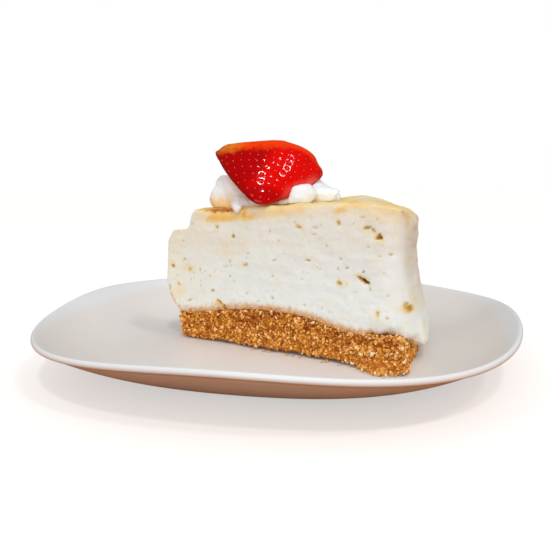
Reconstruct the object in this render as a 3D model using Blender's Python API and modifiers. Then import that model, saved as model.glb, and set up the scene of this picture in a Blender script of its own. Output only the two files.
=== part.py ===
"""Baked cheesecake slice on a rounded-square plate, topped with whipped cream and half a strawberry.

Lengths are in metres. +Z is up, the origin is the middle of the plate's foot, on the surface that it
stands on, and the plate's four sides face along X and Y. The slice's heights are measured from the
plate's well, its radii from the cake's middle, which is the slice's sharp end.
"""

import math

import bmesh
import bpy
from mathutils import Matrix, Vector, noise

MM = 0.001
GAP = 0.45 * MM

# Plate
PLATE_RADIUS = 99.9 * MM
PLATE_SQUARENESS = 0.031
WELL_HEIGHT = 6.5 * MM
WELL_SHARE = 0.69
RIM_RISE = 13.0 * MM
RIM_WAVE = 1.5 * MM
RIM_THICKNESS = 2.3 * MM
LIP_TURN = math.radians(190.0)
FOOT_ROUNDING = 0.6 * MM
FOOT_SHARE = 0.60
FOOT_WIDTH = 4.0 * MM
FOOT_RECESS = 2.2 * MM
PLATE_STEPS = 68

# Slice
CAKE_RADIUS = 110.0 * MM
SLICE_ANGLE = math.radians(45.0)
SLICE_HEADING = math.radians(4.7)
SLICE_POINT = Vector((-50.2, -7.8)) * MM
TOP_EDGE_ROUNDING = 2.4 * MM
CORNER_CHAMFER = 2.0 * MM
LEDGE_HEIGHT = 46.9 * MM
LEDGE_DROP = 0.8 * MM
LEDGE_FADE = 2.2 * MM
RADIAL_CELLS = 38
ANGLE_CELLS = 8
LOWER_ROWS = 8
CRUST_ROWS = 6

# Height above the well, in mm, at shares of the cake's radius: the domed top, and the top of the
# crumb base, whose last stretch falls from the shoulder to the skirt of filling at the outer wall.
TOP_HEIGHTS = (
    (0.0, 55.6), (0.17, 56.6), (0.30, 57.1), (0.45, 58.1), (0.65, 59.2),
    (0.80, 59.6), (0.90, 58.9), (0.96, 57.4), (1.0, 55.4), (1.05, 53.4),
)
BASE_HEIGHTS = (
    (0.0, 10.3), (0.12, 12.2), (0.27, 15.2), (0.42, 17.0), (0.60, 16.4),
    (0.71, 13.8), (0.78, 12.0), (0.87, 11.5), (0.94, 12.0),
)
SHOULDER_SHARE = 0.945
SKIRT_SHARE = 0.983

# Height of the skirt's lower edge above the well, in mm, at shares of the slice's angle.
SKIRT_HEIGHTS = ((0.0, 12.0), (0.08, 10.4), (0.2, 5.8), (0.5, 5.2), (0.8, 6.4), (1.0, 9.0))

# A raised ripple of the baked top: radius, angle off the middle line, height and spread.
HUMP = (84.0 * MM, math.radians(9.0), 1.9 * MM, 12.0 * MM)

# Distance of the slice's blunted end from the cake's middle, by height, in mm: the filling leans out
# over the crumbled base, and its top corner has broken off above the ledge.
FILLING_END = (
    (10.0, 8.2), (13.0, 6.0), (15.5, 3.6), (18.0, 1.0), (24.0, 0.5), (38.0, 0.5), (43.0, 1.2),
    (46.9, 3.8), (47.7, 12.6), (51.0, 13.0), (54.0, 13.8), (58.0, 15.6),
)
CRUST_END = 6.6 * MM

# How far the outer wall stands out of, or back from, the cake's radius, by height, in mm.
FILLING_WALL = (
    (5.0, 2.3), (8.0, 2.8), (13.0, 2.4), (20.0, 0.6), (27.0, -1.2), (33.0, -2.4), (40.0, -3.1),
    (46.0, -2.7), (50.0, -3.0), (54.0, -2.8), (58.0, -4.4),
)
CRUST_WALL = (108.2 * MM, 109.2 * MM)

# How far the crumbs at the foot of the near face lie out over the plate, in mm, by share of the
# radius. They thin out to nothing at FOOT_REACH_TOP, a share of the base's height.
FOOT_REACH = (
    (0.0, 0.2), (0.30, 0.5), (0.45, 1.5), (0.60, 1.3), (0.70, 2.2), (0.80, 3.2), (0.86, 4.6),
    (0.905, 7.6), (0.95, 6.4), (1.0, 3.8),
)
FOOT_REACH_TOP = 0.42

# The base's underside is crumbled away along the cut edges, over EDGE_SHARE of the slice's angle, as
# far out as the crumbs that lie spread at the foot.
CRUMBLED_HEIGHT = 0.9 * MM
EDGE_SHARE = 0.16
SPREAD_FROM = (0.84, 0.88)

# Pits in the cut faces: share of the radius, height above the well, half length, half height,
# depth and turn, in mm and degrees.
NEAR_PITS = (
    (0.863, 50.4, 2.6, 0.9, 1.3, 8), (0.902, 47.4, 1.5, 0.9, 1.5, 20), (0.850, 32.0, 2.0, 0.9, 2.0, 36),
    (0.975, 24.4, 2.2, 1.2, 1.6, 8), (0.897, 20.4, 1.2, 1.2, 1.1, 0), (0.240, 17.6, 3.4, 0.7, 1.2, 38),
)
FAR_PITS = (
    (0.33, 41.0, 1.7, 1.0, 1.5, 20), (0.56, 27.5, 2.2, 1.0, 1.6, -15), (0.74, 45.5, 1.5, 1.1, 1.5, 10),
    (0.88, 31.0, 2.0, 1.2, 1.7, 35),
)

# Whipped cream: lumps in the slice's own frame, as distance from the cake's middle, offset to the
# side, height of the centre over the top and the three half sizes, in mm.
CREAM_LUMPS = (
    (30.0, -0.5, 6.0, 6.6, 6.2, 7.4), (27.5, -2.5, 1.5, 5.8, 5.0, 5.0), (36.5, -8.6, 1.6, 4.6, 4.0, 3.4),
    (39.0, 5.0, 6.0, 9.0, 8.0, 9.5), (50.0, 3.5, 8.0, 13.0, 11.5, 12.0), (57.5, -9.5, 1.6, 9.5, 6.6, 5.6),
    (64.0, 3.0, 4.0, 9.0, 9.5, 7.4), (71.0, -3.0, 2.6, 6.0, 5.6, 4.4), (47.0, -9.8, 0.8, 7.0, 4.4, 3.4),
)
CREAM_VOXEL = 1.5 * MM
CREAM_KEPT_FACES = 0.35
CREAM_OVER_CAKE = 0.84 * MM
CREAM_ROUND_BERRY = 1.3 * MM
CAKE_BLOCK_SPREAD = 2.2
CAKE_BLOCK_DEPTH = 30.0 * MM

# Strawberry half, skin up, leaning back on the cream with its point over the near edge.
BERRY_LENGTH = 33.0 * MM
BERRY_HALF_WIDTHS = (22.7 * MM, 23.1 * MM)
BERRY_THICKNESS = 11.0 * MM
BERRY_POINT = Vector((-3.15, -25.5, 64.9)) * MM
BERRY_HEADING = math.radians(12.9)
BERRY_LEAN = math.radians(38.0)
BERRY_ROLL = math.radians(13.0)
BERRY_FLAT_TOP = 90.8 * MM
BERRY_FLAT_SLOPE = 0.08
BERRY_FLATTENING = 0.88
BERRY_SEGMENTS = 36
BERRY_RINGS = 24

# Share of the length and share of the half width, from the point round to the hulled end.
BERRY_PROFILE = (
    (0.0, 0.0), (0.02, 0.11), (0.09, 0.24), (0.22, 0.43), (0.42, 0.68), (0.62, 0.87), (0.78, 0.98),
    (0.88, 1.0), (0.95, 0.95), (0.985, 0.85), (1.0, 0.62), (1.006, 0.38), (1.01, 0.16), (1.011, 0.0),
)


def clear_scene():
    for obj in list(bpy.data.objects):
        bpy.data.objects.remove(obj)


def collection(name):
    made = bpy.data.collections.new(name)
    bpy.context.scene.collection.children.link(made)
    return made


def food_material(name, colour, roughness):
    made = bpy.data.materials.new(name)
    made.use_nodes = True
    shader = made.node_tree.nodes["Principled BSDF"]
    shader.inputs["Base Color"].default_value = (*colour, 1.0)
    shader.inputs["Roughness"].default_value = roughness
    shader.inputs["Metallic"].default_value = 0.0
    made.diffuse_color = (*colour, 1.0)
    return made


def smooth_between(stations, at):
    """The smooth curve through (place, value) stations, flat past both ends."""
    if at <= stations[0][0]:
        return stations[0][1]
    if at >= stations[-1][0]:
        return stations[-1][1]
    last = len(stations) - 1
    k = next(i for i in range(last) if at <= stations[i + 1][0])
    (x0, y0), (x1, y1) = stations[k], stations[k + 1]
    before, after = stations[max(k - 1, 0)], stations[min(k + 2, last)]
    width = x1 - x0
    slope0 = (y1 - before[1]) / (x1 - before[0]) * width
    slope1 = (after[1] - y0) / (after[0] - x0) * width
    t = (at - x0) / width
    return (
        (2 * t**3 - 3 * t**2 + 1) * y0 + (t**3 - 2 * t**2 + t) * slope0
        + (3 * t**2 - 2 * t**3) * y1 + (t**3 - t**2) * slope1
    )


def straight_between(stations, at):
    """The broken line through (place, value) stations, flat past both ends."""
    if at <= stations[0][0]:
        return stations[0][1]
    for (x0, y0), (x1, y1) in zip(stations, stations[1:]):
        if at <= x1:
            return y0 + (y1 - y0) * (at - x0) / (x1 - x0)
    return stations[-1][1]


def smoothstep(low, high, at):
    t = min(max((at - low) / (high - low), 0.0), 1.0)
    return t * t * (3 - 2 * t)


def roughness_at(point, size, depth):
    """Height of a random relief with lumps of about this size, from -depth to depth."""
    return depth * noise.noise(Vector(point) / size)


def object_from(name, mesh, into, material):
    mesh.shade_smooth()
    mesh.set_sharp_from_angle(angle=math.radians(35))
    obj = bpy.data.objects.new(name, mesh)
    into.objects.link(obj)
    obj.data.materials.clear()
    obj.data.materials.append(material)
    return obj


def evaluated_mesh(obj):
    """The object's mesh with its modifiers applied. The object itself is removed."""
    graph = bpy.context.evaluated_depsgraph_get()
    mesh = bpy.data.meshes.new_from_object(obj.evaluated_get(graph))
    bpy.data.objects.remove(obj)
    return mesh


# Plate


def plate_outline(angle):
    """The rounded square's radius at an angle, as a share of the plate's mean radius."""
    return 1.0 - PLATE_SQUARENESS * math.cos(4 * angle)


def coupe_height(radius):
    """Height of the plate's upper face at a radius of the round plate, before it is squared."""
    start = PLATE_RADIUS * WELL_SHARE
    t = (radius - start) / (PLATE_RADIUS - RIM_THICKNESS / 2 - start)
    return WELL_HEIGHT + RIM_RISE * max(t, 0.0) ** 1.7


def plate_profile():
    """(radius, height) round the plate's section, from the well's middle over the rim to the foot."""
    rim_height = WELL_HEIGHT + RIM_RISE
    edge = RIM_THICKNESS / 2
    inner_end = PLATE_RADIUS - edge
    points = [(0.0, WELL_HEIGHT)]
    points += [(PLATE_RADIUS * WELL_SHARE * k / 3, WELL_HEIGHT) for k in (1, 2, 3)]
    start = PLATE_RADIUS * WELL_SHARE
    for k in range(1, 9):
        radius = start + (inner_end - start) * k / 8
        points.append((radius, coupe_height(radius)))
    for k in range(1, 5):
        turn = math.radians(90) - LIP_TURN * k / 4
        points.append((inner_end + edge * math.cos(turn), rim_height - edge + edge * math.sin(turn)))
    foot_outer = PLATE_RADIUS * FOOT_SHARE
    under_start = points[-1]
    for k in range(1, 7):
        t = k / 6
        radius = under_start[0] + (foot_outer - under_start[0]) * t
        height = under_start[1] + (0.9 * MM - under_start[1]) * (1 - (1 - t) ** 1.5)
        points.append((radius, height))
    foot_inner = foot_outer - FOOT_WIDTH
    points += [
        (foot_outer - FOOT_ROUNDING, 0.0),
        (foot_inner + FOOT_ROUNDING, 0.0),
        (foot_inner, 0.8 * MM),
        (foot_inner - 2.0 * MM, FOOT_RECESS),
        (0.0, FOOT_RECESS),
    ]
    return points


def squared(mesh):
    """Turns a round plate into the rounded square, and lifts the rim in the middle of each side."""
    for vertex in mesh.vertices:
        x, y, z = vertex.co
        radius = math.hypot(x, y)
        if radius < MM:
            continue
        angle = math.atan2(y, x)
        rim_share = smoothstep(FOOT_SHARE, 1.0, radius / PLATE_RADIUS)
        grown = plate_outline(angle)
        wave = RIM_WAVE * math.cos(4 * angle) * rim_share
        vertex.co = (x * grown, y * grown, z + wave)


def make_plate(into, material):
    profile = bpy.data.meshes.new("plate_profile")
    points = plate_profile()
    edges = [(k, k + 1) for k in range(len(points) - 1)]
    profile.from_pydata([(r, 0.0, z) for r, z in points], edges, [])
    turned = object_from("plate_turned", profile, into, material)
    screw = turned.modifiers.new("Turn", "SCREW")
    screw.steps = PLATE_STEPS
    screw.render_steps = PLATE_STEPS
    screw.use_merge_vertices = True
    screw.merge_threshold = 0.0001
    mesh = evaluated_mesh(turned)
    squared(mesh)
    return object_from("plate", mesh, into, material)


# Slice


def slice_place(radius, aside, height):
    """Point of the slice from its radius, its angle off the middle line and its height over the well."""
    heading = SLICE_HEADING + aside
    return Vector((
        SLICE_POINT.x + radius * math.cos(heading),
        SLICE_POINT.y + radius * math.sin(heading),
        WELL_HEIGHT + height,
    ))


def top_height(radius, aside):
    """Height of the baked top at a radius and an angle off the middle line."""
    hump_radius, hump_aside, hump_height, spread = HUMP
    away = math.hypot(radius - hump_radius, radius * (aside - hump_aside)) / spread
    return smooth_between(TOP_HEIGHTS, radius / CAKE_RADIUS) * MM + hump_height * math.exp(-away**2)


def base_height(radius, across):
    """Height where the crumb base ends and the filling starts."""
    share = radius / CAKE_RADIUS
    inner = smooth_between(BASE_HEIGHTS, min(share, SHOULDER_SHARE)) * MM
    drop = (share - SHOULDER_SHARE) / (SKIRT_SHARE - SHOULDER_SHARE)
    skirt = smooth_between(SKIRT_HEIGHTS, across) * MM
    return inner + (skirt - inner) * min(max(drop, 0.0), 1.0)


def box_grid(cells):
    """A cube from 0 to 1 whose edges are cut into this many cells along X, Y and Z."""
    grid = bmesh.new()
    bmesh.ops.create_cube(grid, size=1.0, matrix=Matrix.Translation((0.5, 0.5, 0.5)))
    for axis, count in enumerate(cells):
        along = [
            edge for edge in grid.edges
            if abs(edge.verts[0].co[axis] - edge.verts[1].co[axis]) > 1e-6
        ]
        bmesh.ops.subdivide_edges(grid, edges=along, cuts=count - 1, use_grid_fill=True)
    return grid


def radial_place(share, cells, end, outer):
    """Radius at a share of the grid: even steps to the shoulder, then the skirt, then the wall."""
    index = round(share * cells)
    shoulder = SHOULDER_SHARE * CAKE_RADIUS
    if index <= cells - 2:
        return end + (shoulder - end) * index / (cells - 2)
    if index == cells - 1:
        return min(SKIRT_SHARE * CAKE_RADIUS, outer - 1.2 * MM)
    return outer


def filling_row(share, radius, across):
    """(height, rounding inset) of a row of the filling's grid, from its bottom to its rounded top."""
    rows = LOWER_ROWS + 6
    index = round(share * rows)
    bottom = base_height(radius, across) + GAP
    top = top_height(radius, (across - 0.5) * SLICE_ANGLE)
    rounding = TOP_EDGE_ROUNDING
    upper = LEDGE_HEIGHT + LEDGE_DROP + LEDGE_FADE * smoothstep(0.16, 0.4, radius / CAKE_RADIUS)
    if index <= LOWER_ROWS:
        return bottom + (LEDGE_HEIGHT - bottom) * index / LOWER_ROWS, 0.0
    return (
        (upper, 0.0),
        ((upper + top - rounding) / 2, 0.0),
        (top - rounding, 0.0),
        (top - rounding * 0.5, rounding * 0.134),
        (top - rounding * 0.134, rounding * 0.5),
        (top, rounding),
    )[index - LOWER_ROWS - 1]


def filling_relief(point, on_side, on_end, on_top):
    """How far the filling's skin stands out at a point."""
    if on_end:
        return roughness_at(point, 9 * MM, 0.9 * MM) + roughness_at(point, 3.5 * MM, 0.35 * MM)
    if on_side:
        smear = roughness_at((point.x, point.y, point.z * 2.2), 16 * MM, 0.55 * MM)
        return smear + roughness_at(point, 4.5 * MM, 0.22 * MM)
    if on_top:
        return roughness_at(point, 14 * MM, 0.7 * MM) + roughness_at(point, 5 * MM, 0.2 * MM)
    return 0.0


def make_filling(into, material):
    rows = LOWER_ROWS + 6
    grid = box_grid((RADIAL_CELLS, ANGLE_CELLS, rows))
    sides = {}
    for vertex in grid.verts:
        along, across, up = vertex.co
        guess = CAKE_RADIUS * along
        height, inset = filling_row(up, guess, across)
        end = straight_between(FILLING_END, height / MM) * MM + inset
        outer = CAKE_RADIUS + smooth_between(FILLING_WALL, height / MM) * MM - inset
        radius = radial_place(along, RADIAL_CELLS, end, outer)
        height, inset = filling_row(up, radius, across)
        if along > 1 - 1e-6:
            inset += CORNER_CHAMFER
        half_width = radius * math.sin(SLICE_ANGLE / 2)
        narrowing = 1 - min(inset, 0.7 * half_width) / half_width
        sides[vertex] = (along, across, up)
        vertex.co = slice_place(radius, (across - 0.5) * SLICE_ANGLE * narrowing, height)
    grid.normal_update()
    normals = {vertex: vertex.normal.copy() for vertex in grid.verts}
    for vertex, (along, across, up) in sides.items():
        out = normals[vertex]
        on_end = along < 1e-6 or along > 1 - 1e-6
        on_side = across < 1e-6 or across > 1 - 1e-6
        on_top = up > 1 - 1e-6
        if up < 1e-6 and not (on_end or on_side):
            continue
        if not on_top:
            out = Vector((out.x, out.y, 0.0))
            out = out.normalized() if out.length > 1e-6 else out
        fade = smoothstep(0.0, 0.10, along) if not on_end else 1.0
        vertex.co += out * filling_relief(vertex.co, on_side, on_end, on_top) * fade
    filling = grid_object("filling", grid, into, material)
    cut_pits(filling, NEAR_PITS, -0.5)
    cut_pits(filling, FAR_PITS, 0.5)
    return filling


def grid_object(name, grid, into, material):
    bmesh.ops.triangulate(grid, faces=grid.faces)
    bmesh.ops.recalc_face_normals(grid, faces=grid.faces)
    mesh = bpy.data.meshes.new(name)
    grid.to_mesh(mesh)
    grid.free()
    return object_from(name, mesh, into, material)


def cut_pits(filling, pits, face_share):
    """Cuts the small torn pits out of one cut face of the filling."""
    cutters = bpy.data.collections["cutters"]
    for share, height, half_length, half_height, depth, turn in pits:
        centre = slice_place(share * CAKE_RADIUS, face_share * SLICE_ANGLE, height * MM)
        heading = SLICE_HEADING + face_share * SLICE_ANGLE
        bpy.ops.mesh.primitive_ico_sphere_add(subdivisions=2, radius=1.0)
        pit = bpy.context.active_object
        pit.name = "pit_cutter"
        size = Matrix.Diagonal((half_length * MM, depth * MM, half_height * MM, 1.0))
        tilt = Matrix.Rotation(math.radians(turn), 4, "Y")
        place = Matrix.Translation(centre) @ Matrix.Rotation(heading, 4, "Z")
        pit.data.transform(place @ tilt @ size)
        for old in list(pit.users_collection):
            old.objects.unlink(pit)
        cutters.objects.link(pit)
        pit.hide_render = True
        pit.display_type = "WIRE"
        cut = filling.modifiers.new("Pit", "BOOLEAN")
        cut.operation = "DIFFERENCE"
        cut.object = pit


def crust_relief(point):
    """Crumbly relief of the biscuit base."""
    coarse = roughness_at(point, 6 * MM, 0.8 * MM)
    crumbs = abs(roughness_at(point, 2.6 * MM, 1.3 * MM))
    return coarse + crumbs - 0.5 * MM


def crust_foot(radius, across):
    """Height of the base's underside, which is crumbled away along the cut edges."""
    share = radius / CAKE_RADIUS
    edge = smoothstep(1 - EDGE_SHARE, 1.0, max(across, 1 - across))
    return GAP + CRUMBLED_HEIGHT * edge * (1 - smoothstep(*SPREAD_FROM, share))


def foot_reach(share, across, up):
    """How far the crumbs at the foot of the near face lie out from it."""
    if across > 1e-6:
        return 0.0
    return smooth_between(FOOT_REACH, share) * MM * max(1 - up / FOOT_REACH_TOP, 0.0)


def make_crust(into, material):
    cells = RADIAL_CELLS - 1
    grid = box_grid((cells, ANGLE_CELLS, CRUST_ROWS))
    sides = {}
    for vertex in grid.verts:
        along, across, up = vertex.co
        wall = CRUST_WALL[1] + (CRUST_WALL[0] - CRUST_WALL[1]) * up
        shoulder = SHOULDER_SHARE * CAKE_RADIUS
        index = round(along * cells)
        radius = wall if index == cells else CRUST_END + (shoulder - CRUST_END) * index / (cells - 1)
        foot = crust_foot(radius, across)
        top = base_height(min(radius, SKIRT_SHARE * CAKE_RADIUS), across) - GAP
        sides[vertex] = (along, across, up, radius / CAKE_RADIUS)
        vertex.co = slice_place(radius, (across - 0.5) * SLICE_ANGLE, foot + (top - foot) * up)
    grid.normal_update()
    normals = {vertex: vertex.normal.copy() for vertex in grid.verts}
    for vertex, (along, across, up, share) in sides.items():
        on_wall = min(along, across, 1 - along, 1 - across) < 1e-6
        out = Vector((normals[vertex].x, normals[vertex].y, 0.0))
        if not on_wall or out.length < 1e-6:
            continue
        out.normalize()
        vertex.co += out * (crust_relief(vertex.co) + foot_reach(share, across, up))
    for vertex in grid.verts:
        angle = math.atan2(vertex.co.y, vertex.co.x)
        round_radius = math.hypot(vertex.co.x, vertex.co.y) / plate_outline(angle)
        vertex.co.z = max(vertex.co.z, coupe_height(round_radius + 1.0 * MM) + GAP)
    return grid_object("crust", grid, into, material)


# Whipped cream


def cream_lump(u, aside, over, half_u, half_side, half_height):
    """One lump of cream, its lower part sunk into the top of the cake until that is cut away."""
    radius = math.hypot(u, aside) * MM
    turn = math.atan2(aside, u)
    place = slice_place(radius, turn, top_height(radius, turn) + over * MM)
    bpy.ops.mesh.primitive_uv_sphere_add(segments=24, ring_count=14, radius=1.0)
    lump = bpy.context.active_object
    size = Matrix.Diagonal((half_u * MM, half_side * MM, half_height * MM, 1.0))
    lump.data.transform(Matrix.Translation(place) @ Matrix.Rotation(SLICE_HEADING, 4, "Z") @ size)
    return lump


def cake_block():
    """The space under the cream: the slice's top, raised a little and spread past its sides."""
    block = box_grid((30, 10, 1))
    for vertex in block.verts:
        along, across, up = vertex.co
        radius = CAKE_RADIUS * (0.02 + 1.03 * along)
        aside = (across - 0.5) * SLICE_ANGLE * CAKE_BLOCK_SPREAD
        top = top_height(radius, aside) + CREAM_OVER_CAKE
        vertex.co = slice_place(radius, aside, top if up > 0.5 else top - CAKE_BLOCK_DEPTH)
    bmesh.ops.triangulate(block, faces=block.faces)
    bmesh.ops.recalc_face_normals(block, faces=block.faces)
    mesh = bpy.data.meshes.new("cake_block")
    block.to_mesh(mesh)
    block.free()
    return mesh


def cutter_object(name, mesh):
    cutter = bpy.data.objects.new(name, mesh)
    bpy.data.collections["cutters"].objects.link(cutter)
    cutter.hide_render = True
    cutter.display_type = "WIRE"
    return cutter


def make_cream(into, material):
    lumps = [cream_lump(*lump) for lump in CREAM_LUMPS]
    joined = bmesh.new()
    for lump in lumps:
        joined.from_mesh(lump.data)
        bpy.data.objects.remove(lump)
    mesh = bpy.data.meshes.new("cream_lumps")
    joined.to_mesh(mesh)
    joined.free()
    raw = object_from("cream_raw", mesh, into, material)
    remesh = raw.modifiers.new("Melt", "REMESH")
    remesh.mode = "VOXEL"
    remesh.voxel_size = CREAM_VOXEL
    soften = raw.modifiers.new("Soften", "SMOOTH")
    soften.factor = 0.6
    soften.iterations = 5
    thin = raw.modifiers.new("Thin", "DECIMATE")
    thin.ratio = CREAM_KEPT_FACES
    melted = evaluated_mesh(raw)
    cream = object_from("whipped_cream", melted, into, material)
    for name, cutter_mesh in (("cake_cutter", cake_block()), ("berry_cutter", berry_mesh(CREAM_ROUND_BERRY))):
        cut = cream.modifiers.new(name, "BOOLEAN")
        cut.operation = "DIFFERENCE"
        cut.object = cutter_object(name, cutter_mesh)
    return cream


# Strawberry


def berry_frame():
    """Matrix from the strawberry's own frame to the plate's: X across it, Y from its point, Z out of its skin."""
    heading = Matrix.Rotation(BERRY_HEADING, 4, "Z")
    roll = Matrix.Rotation(BERRY_ROLL, 4, "Y")
    lean = Matrix.Rotation(BERRY_LEAN, 4, "X")
    return Matrix.Translation(BERRY_POINT) @ heading @ roll @ lean


def berry_mesh(growth=0.0):
    """The strawberry half, grown all round by a little where it serves as a cutter."""
    bpy.ops.mesh.primitive_uv_sphere_add(segments=BERRY_SEGMENTS, ring_count=BERRY_RINGS, radius=1.0)
    ball = bpy.context.active_object
    mesh = ball.data.copy()
    bpy.data.objects.remove(ball)
    stations = len(BERRY_PROFILE) - 1
    lengths = tuple((k / stations, point[0]) for k, point in enumerate(BERRY_PROFILE))
    widths = tuple((k / stations, point[1]) for k, point in enumerate(BERRY_PROFILE))
    for vertex in mesh.vertices:
        x, y, z = vertex.co
        way = math.acos(max(-1.0, min(1.0, -z))) / math.pi
        turn = math.atan2(y, x)
        length = smooth_between(lengths, way) * BERRY_LENGTH
        width = smooth_between(widths, way)
        across = width * BERRY_HALF_WIDTHS[x > 0] * math.cos(turn)
        out = width * BERRY_THICKNESS * max(math.sin(turn), 0.0) ** 0.85
        vertex.co = (across, length, out)
    mesh.flip_normals()
    middle = Vector((0.0, BERRY_LENGTH / 2, BERRY_THICKNESS / 2))
    swell = [1 + growth / size for size in (BERRY_HALF_WIDTHS[0], middle.y, middle.z)]
    about_middle = Matrix.Translation(middle) @ Matrix.Diagonal((*swell, 1.0)) @ Matrix.Translation(-middle)
    mesh.transform(berry_frame() @ about_middle)
    for vertex in mesh.vertices:
        over = vertex.co.z - BERRY_FLAT_TOP - BERRY_FLAT_SLOPE * vertex.co.x
        vertex.co.z -= BERRY_FLATTENING * max(over, 0.0)
    return mesh


def make_strawberry(into, material):
    return object_from("strawberry", berry_mesh(), into, material)


def main():
    clear_scene()
    dessert = collection("cheesecake_slice_on_plate")
    collection("cutters")
    make_plate(dessert, food_material("white_glaze", (0.83, 0.82, 0.81), 0.12))
    make_crust(dessert, food_material("biscuit_crumb", (0.55, 0.30, 0.10), 0.85))
    make_filling(dessert, food_material("baked_cheese", (0.86, 0.83, 0.70), 0.55))
    make_cream(dessert, food_material("cream", (0.93, 0.92, 0.90), 0.4))
    make_strawberry(dessert, food_material("berry_skin", (0.62, 0.01, 0.01), 0.15))


main()
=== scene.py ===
"""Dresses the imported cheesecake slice: plate, crumb base, baked cheese, whipped cream and strawberry half.

It also makes the stage: a pale floor, soft light and the camera.
"""

import math
import random

import bmesh
import bpy
import numpy as np
from bpy.props import FloatProperty, FloatVectorProperty, IntProperty, PointerProperty
from mathutils import Matrix, Vector, noise
from mathutils.bvhtree import BVHTree


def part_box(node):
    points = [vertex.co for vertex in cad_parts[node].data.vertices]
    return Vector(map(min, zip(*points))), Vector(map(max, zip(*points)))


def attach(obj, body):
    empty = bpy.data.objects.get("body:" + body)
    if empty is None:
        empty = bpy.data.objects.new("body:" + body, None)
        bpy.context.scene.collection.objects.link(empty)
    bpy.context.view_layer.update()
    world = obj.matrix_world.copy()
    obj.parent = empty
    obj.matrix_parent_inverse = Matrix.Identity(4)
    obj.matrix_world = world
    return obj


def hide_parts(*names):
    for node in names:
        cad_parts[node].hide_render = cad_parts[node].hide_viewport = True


bl_info = {
    "name": "Cheesecake slice dresser",
    "version": (1, 0, 0),
    "blender": (4, 5, 0),
    "location": "3D View > Sidebar > Cheesecake",
    "description": "Finishes the packed cheesecake slice and its plate, and sets up a studio stage",
    "category": "Object",
}

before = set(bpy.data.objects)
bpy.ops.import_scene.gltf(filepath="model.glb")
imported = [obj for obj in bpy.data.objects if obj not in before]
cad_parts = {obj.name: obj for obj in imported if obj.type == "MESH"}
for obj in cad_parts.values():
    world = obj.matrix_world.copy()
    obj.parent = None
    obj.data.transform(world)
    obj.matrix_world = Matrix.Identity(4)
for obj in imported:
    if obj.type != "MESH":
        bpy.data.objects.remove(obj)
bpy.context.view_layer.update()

MM = 0.001
PER_SQUARE_MM = 1e6
MERGE_DISTANCE = 0.01 * MM
WHITE = (1.0, 1.0, 1.0)
UP = Vector((0, 0, 1))

# Where the slice lies on the plate: its sharp end, the heading of its middle line and its angle.
SLICE_POINT = Vector((-50.2, -7.8, 0.0)) * MM
SLICE_HEADING = math.radians(4.7)
SLICE_ANGLE = math.radians(45.0)
NEAR_HEADING = SLICE_HEADING - SLICE_ANGLE / 2
FAR_HEADING = SLICE_HEADING + SLICE_ANGLE / 2
CAKE_RADIUS = 110 * MM
CORNER_RADIUS = 12 * MM
WELL_HEIGHT = 6.5 * MM
# The cut faces reach to FACE_LENGTH and are measured in FACE_BINS places along it. The seam between base
# and cheese sags in the middle of the shown one, and the top droops towards the wall.
FACE_LENGTH = 118 * MM
FACE_BINS = 60
SEAM_SAG, SAG_MIDDLE, SAG_SPREAD = 0.9 * MM, 42 * MM, 22 * MM
TOP_DROOP = 2.2 * MM
EVENING_ROUNDS = 170

# The plate's section: how steeply its rim climbs, the steps of each stretch of it, and its foot ring.
# The ring's two sides are given in mm: distance outwards and height.
COUPE_POWER = 1.7
WELL_STEPS, COUPE_STEPS, EDGE_STEPS, UNDER_STEPS = 8, 24, 12, 20
FOOT_SHARE = 0.60
FOOT_WIDTH = 4 * MM
FOOT_TOP = 0.9 * MM
FOOT_OUTSIDE = ((-0.2, 0.4), (-0.6, 0.0))
FOOT_INSIDE = ((0.6, 0.0), (0.2, 0.3), (0.0, 0.8), (-0.8, 1.7), (-2.2, 2.2))
# The heading of the corner that stands higher.
RAISED_CORNER = math.radians(142)

# The strawberry half's own frame: X across it, Y from its point to its hulled end, Z out of its skin.
BERRY_POINT = Vector((-3.15, -25.5, 64.9)) * MM
BERRY_TURNS = (math.radians(12.9), math.radians(13.0), math.radians(38.0))
BERRY_LENGTH = 33 * MM
FLAT_TOP = 90.8 * MM
FLAT_SLOPE = 0.08
SEED_ROW_PITCH = 0.86
# The cream stays this far from the fruit and the cheese that it is pushed against.
CLEARANCE = 0.5 * MM

# The camera, fitted to the photograph's outlines. The focal length is in pixels of a 550 pixel picture.
CAMERA_PLACE = Vector((58.6, -251.2, 73.0)) * MM
CAMERA_AZIMUTH, CAMERA_DOWN, CAMERA_ROLL = (math.radians(turn) for turn in (13.8, 8.25, -0.5))
FOCAL_LENGTH = 600
PICTURE_WIDTH = 550
SENSOR_WIDTH = 36.0

# Name, direction, share of the strength and width in degrees of the two high lights.
WINDOWS = (("left_window", (0.22, -0.48, 0.85), 0.60, 5.5), ("right_window", (0.54, -0.20, 0.82), 0.40, 7.0))
# Width and height in metres of the soft light in front, where it stands and where it points.
SOFTBOX_SIZE = (1.0, 0.5)
SOFTBOX_PLACE = (0.0, -1.3, 0.40)
SOFTBOX_AIM = (0.0, 0.0, 0.04)
FLOOR_HALF_SIZE = 6.0

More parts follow.
